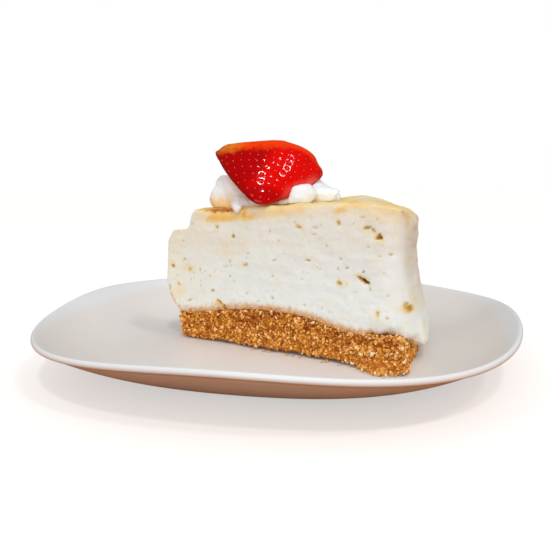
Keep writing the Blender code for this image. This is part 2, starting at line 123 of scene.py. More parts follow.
# Marks on the cut faces: distance from the slice's point, height over the well, half length and half
# height in mm, and turn in degrees, up to the right. A pit then has its depth in mm and how dark its
# painted shade is from 0 to 1, a baked mark how golden it is.
NEAR_PITS = (
    (91.9, 32.5, 1.6, 0.6, -24, 1.5, 0.72), (93.6, 31.4, 2.0, 0.75, -28, 2.2, 1.00),
    (94.2, 50.8, 1.7, 0.6, 12, 0.9, 0.50), (96.7, 49.9, 1.5, 0.5, -38, 0.9, 0.50),
    (98.8, 47.4, 1.5, 0.6, 0, 1.3, 0.75), (98.9, 48.1, 0.6, 0.9, 0, 1.0, 0.55),
    (108.9, 21.9, 1.9, 1.5, 20, 1.9, 0.66), (112.0, 22.2, 2.6, 0.6, -10, 1.0, 0.50),
    (33.2, 56.0, 0.7, 0.5, 0, 0.5, 1.00), (107.2, 23.4, 0.6, 1.4, 0, 0.8, 0.40),
    (98.7, 20.1, 0.7, 1.0, 0, 0.7, 0.30), (102.1, 18.6, 0.7, 0.7, 0, 0.6, 0.28),
    (28.0, 17.9, 2.0, 0.5, -30, 1.3, 0.75), (31.0, 15.6, 2.0, 0.55, -52, 1.5, 0.85),
    (24.8, 22.3, 0.8, 0.6, 0, 0.9, 0.70), (3.4, 31.5, 0.9, 0.8, 0, 0.9, 0.65),
    (10.1, 34.9, 0.9, 0.5, 0, 0.8, 0.50), (12.9, 30.6, 1.1, 0.8, 50, 0.6, 0.30),
    (18.4, 30.9, 0.6, 0.5, 0, 0.6, 0.40), (34.4, 35.3, 0.6, 0.6, 0, 0.7, 0.50),
    (42.3, 34.4, 1.0, 0.5, 15, 0.9, 0.65), (55.8, 36.9, 0.8, 0.3, 20, 0.6, 0.50),
    (23.7, 28.4, 0.5, 0.5, 0, 0.5, 0.35), (34.1, 29.0, 0.8, 0.35, 0, 0.6, 0.40),
    (54.8, 30.7, 0.5, 0.5, 0, 0.5, 0.30), (36.3, 45.7, 0.8, 0.7, 0, 0.8, 0.50),
    (27.9, 49.3, 0.9, 0.5, 0, 0.8, 0.50), (60.0, 39.8, 0.8, 0.3, 0, 0.4, 0.20),
    (70.6, 37.9, 1.4, 0.45, 0, 0.8, 0.55), (66.6, 50.3, 1.5, 0.6, -18, 0.7, 0.45),
    (64.9, 51.8, 0.7, 0.4, 0, 0.5, 0.30), (73.6, 50.2, 1.7, 0.35, 0, 0.5, 0.18),
    (73.4, 47.9, 1.6, 0.4, 5, 0.6, 0.28), (83.1, 52.1, 1.0, 1.0, 0, 0.8, 0.45),
    (83.6, 30.0, 1.3, 0.8, -20, 0.9, 0.50), (86.9, 30.1, 0.8, 0.3, 0, 0.5, 0.30),
    (83.8, 39.1, 0.6, 0.4, 0, 0.5, 0.35), (83.1, 35.4, 0.6, 0.7, 0, 0.6, 0.40),
    (86.7, 35.8, 0.6, 0.6, 0, 0.6, 0.45), (95.0, 43.9, 0.7, 0.4, 0, 0.5, 0.30),
    (102.8, 41.6, 0.8, 0.6, 0, 0.6, 0.38), (99.1, 40.9, 0.6, 0.4, 0, 0.4, 0.22),
    (98.0, 54.0, 0.6, 0.5, 0, 0.5, 0.32), (92.3, 54.5, 1.2, 0.35, 5, 0.4, 0.25),
    (93.1, 34.9, 0.6, 0.5, 0, 0.7, 0.60), (95.7, 28.7, 0.7, 0.5, 0, 0.5, 0.35),
    (89.6, 27.1, 1.2, 0.35, 0, 0.4, 0.22), (112.2, 41.0, 1.8, 0.35, 0, 0.7, 0.30),
    (6.5, 23.6, 0.8, 0.6, 0, 0.7, 0.45), (12.4, 17.1, 1.6, 0.5, 25, 0.5, 0.35),
    (1.4, 22.0, 0.6, 1.6, 0, 0.5, 0.35), (42.0, 22.5, 0.6, 0.4, 0, 0.4, 0.25),
    (47.6, 19.9, 1.2, 0.5, 15, 0.4, 0.22), (18.6, 26.0, 0.5, 0.4, 0, 0.4, 0.30),
)
NEAR_BAKED = (
    (32.0, 53.4, 13.5, 2.4, 2, 0.40), (30.0, 52.9, 9.0, 1.6, 1, 0.14), (41.7, 54.2, 1.3, 0.8, 0, 0.16),
    (29.0, 56.3, 11.0, 1.3, 2, 0.42), (39.0, 56.2, 5.0, 1.6, 3, 0.26),
    (27.0, 56.6, 8.0, 1.5, 3, 0.26),
    (34.0, 51.7, 2.6, 0.5, 0, 0.12), (55.0, 55.4, 14.0, 2.2, 7, 0.20), (57.6, 55.7, 3.4, 1.1, 5, 0.10),
    (67.0, 56.9, 2.2, 1.6, 0, 0.14), (88.3, 58.4, 6.5, 1.7, 14, 0.16), (84.0, 57.2, 3.4, 0.9, 18, 0.14),
    (98.0, 57.9, 9.0, 1.3, -3, 0.06), (101.0, 55.5, 12.0, 3.4, -3, 0.08), (82.7, 55.0, 0.9, 2.4, 0, 0.14),
    (29.0, 16.0, 3.0, 1.5, -25, 0.34), (26.0, 17.2, 2.6, 1.4, 0, 0.16), (94.5, 49.4, 4.2, 1.6, -15, 0.12),
    (98.9, 46.0, 2.2, 1.6, 0, 0.16), (92.6, 32.6, 3.0, 1.8, -25, 0.14), (109.4, 22.3, 3.6, 2.3, 0, 0.30),
    (98.7, 20.0, 1.5, 2.0, 0, 0.22), (27.4, 47.5, 1.8, 1.4, 0, 0.16), (3.4, 32.6, 1.8, 1.6, 0, 0.25),
    (12.4, 31.0, 3.4, 2.6, 40, 0.20), (6.0, 20.5, 4.5, 4.0, 0, 0.14), (40.6, 34.6, 2.4, 1.2, 0, 0.12),
    (36.0, 41.0, 9.0, 4.0, 10, 0.08), (84.0, 30.0, 2.6, 2.2, 0, 0.16), (67.4, 49.8, 3.0, 1.2, -25, 0.16),
)
FAR_PITS = (
    (36.3, 41.0, 1.7, 0.8, 20, 1.3, 0.60), (61.6, 27.5, 2.2, 0.7, -15, 1.5, 0.85),
    (81.4, 45.5, 1.5, 0.9, 10, 1.3, 0.55), (96.8, 31.0, 1.8, 0.8, 35, 1.4, 0.65),
    (22.0, 25.0, 1.0, 0.8, 0, 0.8, 0.50), (49.0, 46.0, 1.4, 0.5, 0, 0.7, 0.40),
    (70.0, 51.0, 1.2, 0.5, 8, 0.6, 0.35), (88.0, 22.0, 0.9, 0.7, 0, 0.7, 0.40),
)
FAR_BAKED = (
    (36.0, 53.6, 15.0, 2.0, 2, 0.34), (64.0, 56.2, 12.0, 1.8, 5, 0.26), (92.0, 57.6, 13.0, 1.6, -1, 0.30),
    (62.0, 27.0, 3.4, 1.8, -15, 0.18), (81.4, 45.0, 2.6, 1.8, 0, 0.16), (20.0, 20.0, 6.0, 4.0, 0, 0.14),
)


def linear(red, green, blue):
    """A colour given in 0 to 255 steps, as the linear values that shaders take."""
    picked = np.array((red, green, blue)) / 255
    curved = ((picked + 0.055) / 1.055) ** 2.4
    return tuple(float(value) for value in np.where(picked > 0.04045, curved, picked / 12.92))


def colour(name, description, *picked):
    return FloatVectorProperty(
        name=name, description=description, subtype="COLOR", size=3, min=0.0, max=1.0, default=linear(*picked)
    )


def number(name, description, default, **options):
    return FloatProperty(name=name, description=description, default=default, **options)


def count(name, description, default, **options):
    return IntProperty(name=name, description=description, default=default, **options)


def length(name, description, millimetres):
    return number(name, description, millimetres * MM, unit="LENGTH", min=0.0)


class PlateSettings(bpy.types.PropertyGroup):
    """Sizes and glaze of the rounded-square plate."""

    radius: length("Radius", "Mean distance of the rim from the plate's middle", 99.9)
    squareness: number("Squareness", "How far the round rim is squared", 0.031)
    well_share: number("Flat share", "Share of the radius that lies flat", 0.69)
    rim_rise: length("Rim rise", "Height of the rim over the well", 13.0)
    rim_wave: length("Rim wave", "How far the rim lifts in the middle of each side", 1.5)
    rim_thickness: length("Rim thickness", "Thickness of the rounded edge", 2.3)
    steps: count("Steps", "Sections round the plate", 224, min=16)
    corner_lift: length("Corner lift", "How much higher the far left corner stands", 2.3)
    # The well's glaze is painted warmer than the rim's: a painted warm reflection of the room.
    well_glaze_and_reflection: colour("Glaze", "Colour of the glaze in the well", 234, 229, 225)
    rim_glaze: colour("Rim glaze", "Colour of the glaze on the rim", 234, 236, 238)


class CrumbSettings(bpy.types.PropertyGroup):
    """The biscuit base and its crumbs."""

    voxel: length("Voxel", "Fineness of the base's surface", 0.75)
    relief: length("Relief", "Depth of the crumbly surface", 1.1)
    density: number("Crumbs", "Crumbs on each square millimetre", 1.3)
    smallest: length("Smallest", "Half size of the smallest crumb", 0.34)
    largest: length("Largest", "Half size of the largest crumb", 0.95)
    rim: count("Rim crumbs", "Crumbs along the upper edge of the base", 620)
    foot: count("Foot crumbs", "Crumbs at the foot of the outer end, and as many at its edge", 220)
    clinging: count("Clinging crumbs", "Small crumbs smeared on the cheese", 900)
    loose: count("Loose crumbs", "Crumbs lying on the plate", 16)
    seed: count("Seed", "Arrangement of the crumbs", 7)
    # The dark crumb colour is also painted shade in the cracks between crumbs and where crumbs sink in.
    dark: colour("Dark crumb", "Baked crumbs and the hollows between them", 138, 60, 16)
    brown: colour("Brown crumb", "Well baked crumbs", 220, 144, 54)
    middle: colour("Golden crumb", "Most of the crumbs", 252, 188, 92)
    light: colour("Pale crumb", "The palest crumbs", 255, 234, 194)


class FillingSettings(bpy.types.PropertyGroup):
    """The baked cheese filling."""

    voxel: length("Voxel", "Fineness of the filling's surface", 0.62)
    smear: length("Smear", "Depth of the marks that the knife left", 0.16)
    grain: length("Grain", "Depth of the curd's fine grain", 0.09)
    wall_crease: length("Wall crease", "Depth of the creases in the outer wall", 0.28)
    pores: count("Pores", "Small random pores in each cut face", 110)
    seed: count("Seed", "Arrangement of the small pores", 21)
    ivory: colour("Ivory", "The cut cheese", 237, 241, 239)
    straw: colour("Straw", "The denser cheese just under the top", 240, 226, 190)
    gold: colour("Gold", "The baked skin", 245, 202, 116)
    toast: colour("Toast", "The darkest baked spots", 190, 112, 42)
    speck: colour("Speck", "Fine specks in the cut cheese", 196, 186, 158)
    smeared: colour("Smeared crumb", "Crumb that the knife drew over the cheese", 214, 154, 84)
    # The three pit colours are painted shade: each pit is darkened towards its floor.
    pit_edge_shade: colour("Pit edge", "Tint of a pit's edge", 232, 208, 142)
    pit_wall_shade: colour("Pit wall", "Tint of a pit's wall", 186, 142, 46)
    pit_floor_shade: colour("Pit floor", "Tint of the deepest pits", 112, 16, 10)


class CreamSettings(bpy.types.PropertyGroup):
    """The whipped cream."""

    voxel: length("Voxel", "Fineness of the cream's surface", 0.5)
    ripple: length("Ripple", "Depth of its folds", 0.55)
    white: colour("White", "The cream", 243, 250, 253)
    # A warmer tone near the cream's foot, strongest at its left front.
    honey: colour("Honey", "Where it has melted on the warm skin", 250, 214, 152)


class BerrySettings(bpy.types.PropertyGroup):
    """The strawberry half."""

    voxel: length("Voxel", "Fineness of the skin", 0.42)
    seed_spacing: length("Seed spacing", "Distance from seed to seed", 3.3)
    seed_size: length("Seed size", "Half width of a seed", 0.32)
    dimple: length("Dimple", "Depth of the hollow round each seed", 0.13)
    red: colour("Red", "Ripe skin", 226, 5, 4)
    # Used towards the skin's left side and its point.
    deep_red: colour("Deep red", "The darker side", 176, 1, 4)
    orange: colour("Orange", "The less ripe shoulder", 244, 62, 3)
    olive: colour("Olive", "The shoulder's unripe end", 226, 122, 30)
    # Painted reflection of the cream on the skin's right edge, near the cut.
    flush: colour("Flush", "Cream seen through the skin's edge", 255, 104, 92)
    # Painted shade along the skin's edges at the cut, where the skin turns away.
    limb_shade: colour("Rim", "The dark edge along the cut", 112, 0, 8)
    # Painted shade in the hollows round the seeds.
    hollow_and_shade: colour("Hollow", "The skin under the seeds", 150, 0, 4)
    flesh: colour("Flesh", "The cut face", 240, 130, 96)
    fibre: colour("Fibre", "The pale fibres in the flesh", 248, 206, 184)
    core: colour("Core", "The middle of the flesh", 250, 228, 212)
    seed: colour("Seed", "The seeds", 244, 82, 68)


class StageSettings(bpy.types.PropertyGroup):
    """Floor, lights and camera."""

    floor: colour("Floor", "The pale floor", 206, 202, 198)
    bounce: colour("Bounce", "Tone of the light that the floor throws up", 182, 118, 62)
    window: number("Windows", "Strength of the two high lights together", 0.98)
    fill: number("Fill light", "Power of the soft light in front", 6.0, unit="POWER")
    fill_tone: FloatVectorProperty(
        name="Fill tone", description="Tone of the soft light", subtype="COLOR", default=(0.89, 0.955, 1.0)
    )
    sky: number("Sky", "Strength of the even surrounding light", 0.66)
    mirrored: number("Mirrored sky", "Share of that light that reflections lose", 0.75)
    lift: number("Lift", "Evens the floor with the white backdrop", 0.50)
    room: colour("Room", "Tone of the surroundings in reflections", 226, 196, 176)
    horizon: colour("Horizon", "Tone of the surroundings near the floor", 206, 200, 196)


def settings(group):
    return getattr(bpy.context.scene, "cheesecake_" + group)


# Node trees


class Tree:
    """Adds nodes to a node tree and feeds their sockets with values or with other nodes' outputs."""

    def __init__(self, tree):
        self.tree = tree

    def node(self, kind, feeds=None, **options):
        made = self.tree.nodes.new(kind)
        for name, value in options.items():
            setattr(made, name, value)
        for key, value in (feeds or {}).items():
            self.feed(made.inputs[key], value)
        return made

    def out(self, kind, feeds=None, output=0, **options):
        return self.node(kind, feeds, **options).outputs[output]

    def math(self, operation, *values, clamp=False):
        return self.out("ShaderNodeMath", dict(enumerate(values)), operation=operation, use_clamp=clamp)

    def feed(self, socket, value):
        if isinstance(value, bpy.types.NodeSocket):
            self.tree.links.new(value, socket)
        else:
            socket.default_value = value


class ShaderTree(Tree):
    """A material's node tree."""

    def colour(self, tint):
        self.feed(self.sockets["Base Color"], tint)

    def uneven(self, normal):
        self.feed(self.sockets["Normal"], normal)

    def place(self):
        return self.out("ShaderNodeTexCoord", output="Object")

    def noise(self, scale, detail=3.0, roughness=0.5):
        feeds = {"Vector": self.place(), "Scale": scale, "Detail": detail, "Roughness": roughness}
        return self.out("ShaderNodeTexNoise", feeds, "Fac")

    def attribute(self, name):
        return self.out("ShaderNodeAttribute", output="Fac", attribute_name=name)

    def part_of(self, name, share):
        """A share of the mesh attribute of this name."""
        return self.math("MULTIPLY", self.attribute(name), share)

    def ramp(self, value, *stops):
        """Colours or greys at places from 0 to 1."""
        made = self.node("ShaderNodeValToRGB", {"Fac": value})
        elements = made.color_ramp.elements
        while len(elements) < len(stops):
            elements.new(0.5)
        for element, (at, tint) in zip(elements, stops):
            element.position = at
            element.color = (tint, tint, tint, 1.0) if isinstance(tint, float) else (*tint, 1.0)
        return made.outputs["Color"]

    def mix(self, factor, first, second, blend="MIX"):
        feeds = {0: factor}
        for key, value in ((6, first), (7, second)):
            feeds[key] = value if isinstance(value, bpy.types.NodeSocket) else (*value, 1.0)
        return self.out("ShaderNodeMix", feeds, 2, data_type="RGBA", blend_type=blend)

    def tinted(self, first, second):
        return self.mix(1.0, first, second, "MULTIPLY")

    def bump(self, height, distance, strength, under=None):
        feeds = {"Height": height, "Distance": distance, "Strength": strength}
        if under:
            feeds["Normal"] = under
        return self.out("ShaderNodeBump", feeds, "Normal")


def material(name, **values):
    """A Principled material whose even values stand on the shader's own sockets, and its node tree."""
    made = bpy.data.materials.new(name)
    made.use_nodes = True
    tree = ShaderTree(made.node_tree)
    tree.sockets = made.node_tree.nodes["Principled BSDF"].inputs
    for key, value in values.items():
        tree.sockets[key.replace("_", " ")].default_value = value
    return made, tree


# Mesh tools


def points_of(mesh):
    flat = np.empty(len(mesh.vertices) * 3, dtype=np.float32)
    mesh.vertices.foreach_get("co", flat)
    return flat.reshape(-1, 3).astype(float)


def normals_of(mesh):
    flat = np.empty(len(mesh.vertices) * 3, dtype=np.float32)
    mesh.vertex_normals.foreach_get("vector", flat)
    return flat.reshape(-1, 3).astype(float)


def move_points(mesh, points):
    mesh.vertices.foreach_set("co", points.astype(np.float32).ravel())
    mesh.update()


def store(mesh, name, values):
    attribute = mesh.attributes.new(name, "FLOAT", "POINT")
    attribute.data.foreach_set("value", np.clip(values, 0.0, 1.0).astype(np.float32))


def relief(points, size, octaves=2, stretch=(1.0, 1.0, 1.0)):
    """Random relief from about -1 to 1 with lumps of this size in mm, at each point."""
    scaled = points / (np.array(stretch) * (size * MM))
    return np.array([noise.fractal(Vector(point), 0.9, 2.0, octaves) for point in scaled])


def pebbles(points, size):
    """Relief of packed grains of this size in mm: 1 in the middle of a grain, 0 in the cracks."""
    found = [noise.voronoi(Vector(point))[0] for point in points / (size * MM)]
    return np.clip(np.array([distances[1] - distances[0] for distances in found]) * 1.6, 0.0, 1.0)


def smooth(low, high, values):
    """0 up to low, 1 from high, and an even curve between them. The two may stand the other way round."""
    t = np.clip((values - low) / (high - low), 0.0, 1.0)
    return t * t * (3 - 2 * t)


def smooth_mm(low, high, lengths):
    return smooth(low * MM, high * MM, lengths)


def bell(values, middle, spread):
    return np.exp(-(((values - middle) / spread) ** 2))


def softened(mesh, points, share, rounds):
    """The points, each moved by its share of the way to its neighbours' middle, round after round."""
    ends = np.empty(len(mesh.edges) * 2, dtype=np.int32)
    mesh.edges.foreach_get("vertices", ends)
    start, end = np.concatenate((ends, ends.reshape(-1, 2)[:, ::-1].ravel())).reshape(-1, 2).T
    neighbours = np.bincount(start, minlength=len(points))
    for _ in range(rounds):
        total = [np.bincount(start, points[end, axis], len(points)) for axis in range(3)]
        middle = np.stack(total, axis=1) / neighbours[:, None]
        points = points + share[:, None] * (middle - points)
    return points


def new_object(name, mesh, finish):
    """A new object at the origin with this mesh and material."""
    made = bpy.data.objects.new(name, mesh)
    bpy.context.scene.collection.objects.link(made)
    mesh.materials.clear()
    mesh.materials.append(finish)
    return made


def evaluated(obj):
    """The object's mesh with its modifiers applied. The object itself is removed."""
    graph = bpy.context.evaluated_depsgraph_get()
    mesh = bpy.data.meshes.new_from_object(obj.evaluated_get(graph))
    bpy.data.objects.remove(obj)
    return mesh


def merged_copy(node):
    """A copy of a CAD node's mesh with its loose triangles joined."""
    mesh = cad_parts[node].data.copy()
    joined = bmesh.new()
    joined.from_mesh(mesh)
    bmesh.ops.remove_doubles(joined, verts=joined.verts, dist=MERGE_DISTANCE)
    joined.to_mesh(mesh)
    joined.free()
    return mesh


def surface_tree(mesh):
    corners = [tuple(point) for point in points_of(mesh)]
    return BVHTree.FromPolygons(corners, [tuple(face.vertices) for face in mesh.polygons])


def remeshed(mesh, voxel, rounds, finish):
    """The shape as an even fine mesh, with its facets smoothed away."""
    rough = new_object("rough_shape", mesh, finish)
    remesh = rough.modifiers.new("Even", "REMESH")
    remesh.mode = "VOXEL"
    remesh.voxel_size = voxel
    soften = rough.modifiers.new("Soften", "SMOOTH")
    soften.factor = 0.5
    soften.iterations = rounds
    return evaluated(rough)


def fine_copy(node, voxel, rounds, finish):
    """An even fine mesh in the shape of a CAD node."""
    return remeshed(merged_copy(node), voxel, rounds, finish)


def finished(obj, node):
    """The piece, riding the one body, in place of its CAD node where it has one."""
    obj.data.shade_smooth()
    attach(obj, "root")
    if node:
        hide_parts(node)
    return obj


# Slice measures


def slice_measures(points):
    """Radius, angle off the middle line, and height over the well, at each point."""
    x = points[:, 0] - SLICE_POINT.x
    y = points[:, 1] - SLICE_POINT.y
    return np.hypot(x, y), np.arctan2(y, x) - SLICE_HEADING, points[:, 2] - WELL_HEIGHT


def face_measures(points, heading, side):
    """Distance along a cut face from the slice's point, and distance out of the face's plane."""
    x = points[:, 0] - SLICE_POINT.x
    y = points[:, 1] - SLICE_POINT.y
    along = x * math.cos(heading) + y * math.sin(heading)
    out = side * (x * math.sin(heading) - y * math.cos(heading))
    return along, out


def face_normal(heading, side):
    """The way out of a cut face. The side is 1 for the shown face and -1 for the far one."""
    return np.array((side * math.sin(heading), -side * math.cos(heading), 0.0))


# Plate


def coupe_height(radius, plate):
    start = plate.radius * plate.well_share
    t = (radius - start) / (plate.radius - plate.rim_thickness / 2 - start)
    return WELL_HEIGHT + plate.rim_rise * max(t, 0.0) ** COUPE_POWER


def plate_profile(plate):
    """(radius, height) down the plate's section: well, coupe, rounded rim, underside, foot ring."""
    edge = plate.rim_thickness / 2
    inner_end = plate.radius - edge
    start = plate.radius * plate.well_share
    points = [(start * k / WELL_STEPS, WELL_HEIGHT) for k in range(WELL_STEPS + 1)]
    for k in range(1, COUPE_STEPS + 1):
        radius = start + (inner_end - start) * k / COUPE_STEPS
        points.append((radius, coupe_height(radius, plate)))
    top = WELL_HEIGHT + plate.rim_rise - edge
    for k in range(1, EDGE_STEPS + 1):
        turn = math.radians(90 - 190 * k / EDGE_STEPS)
        points.append((inner_end + edge * math.cos(turn), top + edge * math.sin(turn)))
    under_radius, under_height = points[-1]
    foot_outer = plate.radius * FOOT_SHARE
    for k in range(1, UNDER_STEPS + 1):
        t = k / UNDER_STEPS
        radius = under_radius + (foot_outer - under_radius) * t
        points.append((radius, under_height + (FOOT_TOP - under_height) * (1 - (1 - t) ** 1.5)))
    for side, section in ((foot_outer, FOOT_OUTSIDE), (foot_outer - FOOT_WIDTH, FOOT_INSIDE)):
        points += [(side + out * MM, height * MM) for out, height in section]
    return points + [(0.0, points[-1][1])]


def glaze_material(plate):
    finish, tree = material("white_glaze", Roughness=0.36, Specular_IOR_Level=0.38)
    cloud = tree.noise(14.0, 2.0)
    # Painted reflection: the glaze is warmer in the well and whiter on the rim.
    height = tree.out("ShaderNodeSeparateXYZ", {0: tree.place()}, 2)
    climb = tree.math("SUBTRACT", height, WELL_HEIGHT + plate.rim_rise * 0.74)
    share = tree.math("DIVIDE", climb, plate.rim_rise * 0.2, clamp=True)
    tint = tree.mix(share, plate.well_glaze_and_reflection, plate.rim_glaze)
    shade = tree.ramp(cloud, (0.35, 0.93), (0.65, 1.0))
    tree.colour(tree.tinted(tint, shade))
    ripple = tree.bump(tree.noise(55.0, 2.0), 0.00012, 0.35)
    tree.uneven(tree.bump(tree.noise(900.0, 1.0), 0.00001, 0.25, ripple))
    return finish


class GeometryTree(Tree):
    """A geometry node tree with named inputs."""

    def __init__(self, name):
        super().__init__(bpy.data.node_groups.new(name, "GeometryNodeTree"))
        face = self.tree.interface
        face.new_socket("Geometry", in_out="INPUT", socket_type="NodeSocketGeometry")
        face.new_socket("Geometry", in_out="OUTPUT", socket_type="NodeSocketGeometry")
        self.entry = self.tree.nodes.new("NodeGroupInput")
        self.identifiers = {}

    def input(self, name, kind, default=None):
        socket = self.tree.interface.new_socket(name, in_out="INPUT", socket_type="NodeSocket" + kind)
        if default is not None:
            socket.default_value = default
        self.identifiers[name] = socket.identifier
        return self.entry.outputs[name]

    def scaled(self, vector, factor):
        return self.out("ShaderNodeVectorMath", {0: vector, "Scale": factor}, operation="SCALE")

    def smoothstep(self, value, low, high):
        feeds = {"Value": value, "From Min": low, "From Max": high}
        return self.out("ShaderNodeMapRange", feeds, "Result", interpolation_type="SMOOTHSTEP")

    def end(self, geometry, finish):
        """Realize Instances and Set Material, which every tree ends in."""
        real = self.out("GeometryNodeRealizeInstances", {"Geometry": geometry})
        painted = self.out("GeometryNodeSetMaterial", {"Geometry": real, "Material": finish})
        self.node("NodeGroupOutput", {0: painted})

    def bake(self, obj, **values):
        """Runs the tree on an object and returns the result as a plain mesh."""
        modifier = obj.modifiers.new("Nodes", "NODES")
        modifier.node_group = self.tree
        for name, value in values.items():
            modifier[self.identifiers[name.replace("_", " ")]] = value
        return evaluated(obj)


def plate_tree():
    """Turns the profile that it is given round the Z axis, squares it, waves its rim and lifts one corner."""
    nodes = GeometryTree("turned_plate")
    rows = nodes.input("Profile points", "Int", 2)
    steps = nodes.input("Steps", "Int", 64)
    radius = nodes.input("Radius", "Float", 0.1)
    squareness = nodes.input("Squareness", "Float", 0.03)
    wave = nodes.input("Rim wave", "Float", 0.0015)
    corner = nodes.input("Corner lift", "Float", 0.002)
    finish = nodes.input("Finish", "Material")
    columns = nodes.math("ADD", steps, 1)
    grid = nodes.out("GeometryNodeMeshGrid", {"Vertices X": rows, "Vertices Y": columns}, "Mesh")
    index = nodes.out("GeometryNodeInputIndex")
    row = nodes.math("FLOOR", nodes.math("DIVIDE", nodes.math("ADD", index, 0.5), columns))
    column = nodes.math("SUBTRACT", index, nodes.math("MULTIPLY", row, columns))
    angle = nodes.math("MULTIPLY", nodes.math("DIVIDE", column, steps), math.tau)
    position = nodes.out("GeometryNodeInputPosition")
    feeds = {"Geometry": nodes.entry.outputs["Geometry"], "Value": position, "Index": row}
    sample = nodes.out("GeometryNodeSampleIndex", feeds, "Value", data_type="FLOAT_VECTOR")
    distance, _, height = nodes.node("ShaderNodeSeparateXYZ", {0: sample}).outputs
    turn = nodes.math("COSINE", nodes.math("MULTIPLY", angle, 4))
    grown = nodes.math("SUBTRACT", 1, nodes.math("MULTIPLY", squareness, turn))
    reach = nodes.math("MULTIPLY", distance, grown)
    share = nodes.smoothstep(nodes.math("DIVIDE", distance, radius), 0.60, 1.0)
    from_corner = nodes.math("COSINE", nodes.math("SUBTRACT", angle, RAISED_CORNER))
    raised = nodes.math("MULTIPLY", corner, nodes.smoothstep(from_corner, 0.55, 1.0))
    lift = nodes.math("MULTIPLY", nodes.math("ADD", nodes.math("MULTIPLY", wave, turn), raised), share)
    place = {
        0: nodes.math("MULTIPLY", reach, nodes.math("COSINE", angle)),
        1: nodes.math("MULTIPLY", reach, nodes.math("SINE", angle)),
        2: nodes.math("ADD", height, lift),
    }
    feeds = {"Geometry": grid, "Position": nodes.out("ShaderNodeCombineXYZ", place)}
    bent = nodes.out("GeometryNodeSetPosition", feeds)
    nodes.end(nodes.out("GeometryNodeMergeByDistance", {"Geometry": bent, "Distance": 0.002 * MM}), finish)
    return nodes


def make_plate():
    plate = settings("plate")
    finish = glaze_material(plate)
    profile = bpy.data.meshes.new("plate_profile")
    section = plate_profile(plate)
    profile.from_pydata([(radius, 0.0, height) for radius, height in section], [], [])
    turned = plate_tree().bake(
        new_object("plate_section", profile, finish),
        Profile_points=len(section), Steps=plate.steps, Radius=plate.radius,
        Squareness=plate.squareness, Rim_wave=plate.rim_wave,
        Corner_lift=plate.corner_lift, Finish=finish,
    )
    facing = bmesh.new()
    facing.from_mesh(turned)
    bmesh.ops.recalc_face_normals(facing, faces=facing.faces)
    facing.to_mesh(turned)
    facing.free()
    finished(new_object("glazed_plate", turned, finish), "plate")


# Filling


def oval(along, heights, middle, height, half_length, half_height, turn):
    """1 in the middle of a turned oval on a face, 0 on its rim, and less outside."""
    x = along / MM - middle
    y = heights / MM - height
    swing = math.radians(turn)
    across = (x * math.cos(swing) + y * math.sin(swing)) / half_length
    up = (y * math.cos(swing) - x * math.sin(swing)) / half_height
    return 1 - np.hypot(across, up)


def small_pores(seed, amount, left_heavy):
    """Random little pores, more of them low down and, on the shown face, near the slice's point."""
    draw = random.Random(seed)
    pores = []
    for _ in range(amount):
        share = draw.random()
        along = 4 + 104 * (share**1.9 if left_heavy else share)
        height = 15 + 38 * draw.random() ** 1.25
        size = 0.25 + 0.35 * draw.random() ** 2.2
        flat = 0.5 + 0.5 * draw.random()
        # Bigger pores get darker painted shade.
        pores.append((along, height, size, size * flat, draw.uniform(-30, 30), size, 0.10 + 0.35 * size))
    return pores


def face_edge(along, heights, chosen, upper):
    """Height of a cut face's upper or lower edge at each point, read from the chosen points."""
    bins = np.linspace(0.0, FACE_LENGTH, FACE_BINS)
    which = np.clip(np.digitize(along[chosen], bins), 1, FACE_BINS - 1)
    found = np.zeros(FACE_BINS) if upper else np.ones(FACE_BINS)
    (np.maximum if upper else np.minimum).at(found, which, heights[chosen])
    known = (found > 0) & (found < 1)
    return np.interp(along, bins[known], found[known])


def cut_face_detail(points, normals, face, cheese):
    """(share on the face, offset out of it, gold, painted pit shade, smeared crumb) at each point."""
    heading, side, pits, baked, shift = face
    along, out = face_measures(points, heading, side)
    heights = points[:, 2] - WELL_HEIGHT
    facing = normals @ face_normal(heading, side)
    on_face = smooth(0.0, 0.4, facing) * smooth_mm(-14, -9, out)
    flat = np.stack((along, np.zeros_like(along), heights), axis=1) + shift
    smear = relief(flat, 3.4, 2, (4.0, 1.0, 1.0)) * cheese.smear
    lumps = relief(flat, 5.5, 2) * cheese.smear * 1.3
    low = 1 + 1.2 * smooth_mm(30, 14, heights)
    offset = smear + lumps + relief(flat, 1.5, 2) * cheese.grain * low
    torn_along = along + relief(flat + 1.0, 1.3, 2) * 0.45 * MM
    torn_height = heights + relief(flat + 2.0, 1.1, 2) * 0.35 * MM
    patch = relief(flat + 3.0, 5, 3)
    above = face_edge(along, heights, (on_face > 0.3) | (np.abs(out) < 4 * MM), True) - heights
    over = heights - face_edge(along, heights, on_face > 0.5, False)
    line = 0.05 + 0.13 * smooth_mm(19, 23, along) + 0.03 * smooth_mm(56, 74, along)
    gold = 0.02 + 0.05 * patch + 0.06 * smooth_mm(50, 5, along)
    gold += line * smooth_mm(2.2, 0.4, above + patch * 0.6 * MM)
    under_skin = smooth_mm(7.5, 3.5, above + patch * 1.5 * MM) * smooth_mm(20, 50, along)
    gold += 0.04 * smooth_mm(26, 8, above) + 0.11 * under_skin
    crumbed = smooth_mm(3.3, -0.2, over + relief(flat, 1.5, 3) * 0.9 * MM)
    for *place, strength in baked:
        gold += strength * smooth(-0.35, 0.55, oval(torn_along, torn_height, *place) + 0.3 * patch)
    # Each pit is sunk into the face and darkened with painted shade.
    dark = np.zeros_like(along)
    for *place, depth, tone in pits:
        inside = oval(torn_along, torn_height, *place)
        offset = offset - np.clip(inside, 0.0, 1.0) ** 0.6 * depth * MM
        dark = np.maximum(dark, smooth(-0.25, 0.55, inside) * tone)
    return on_face, offset, gold, dark, crumbed


def sagging(points):
    """How much lower the seam between base and cheese lies in the middle of the shown face."""
    along, out = face_measures(points, NEAR_HEADING, 1)
    return SEAM_SAG * bell(along, SAG_MIDDLE, SAG_SPREAD) * smooth_mm(-12, -2, out)


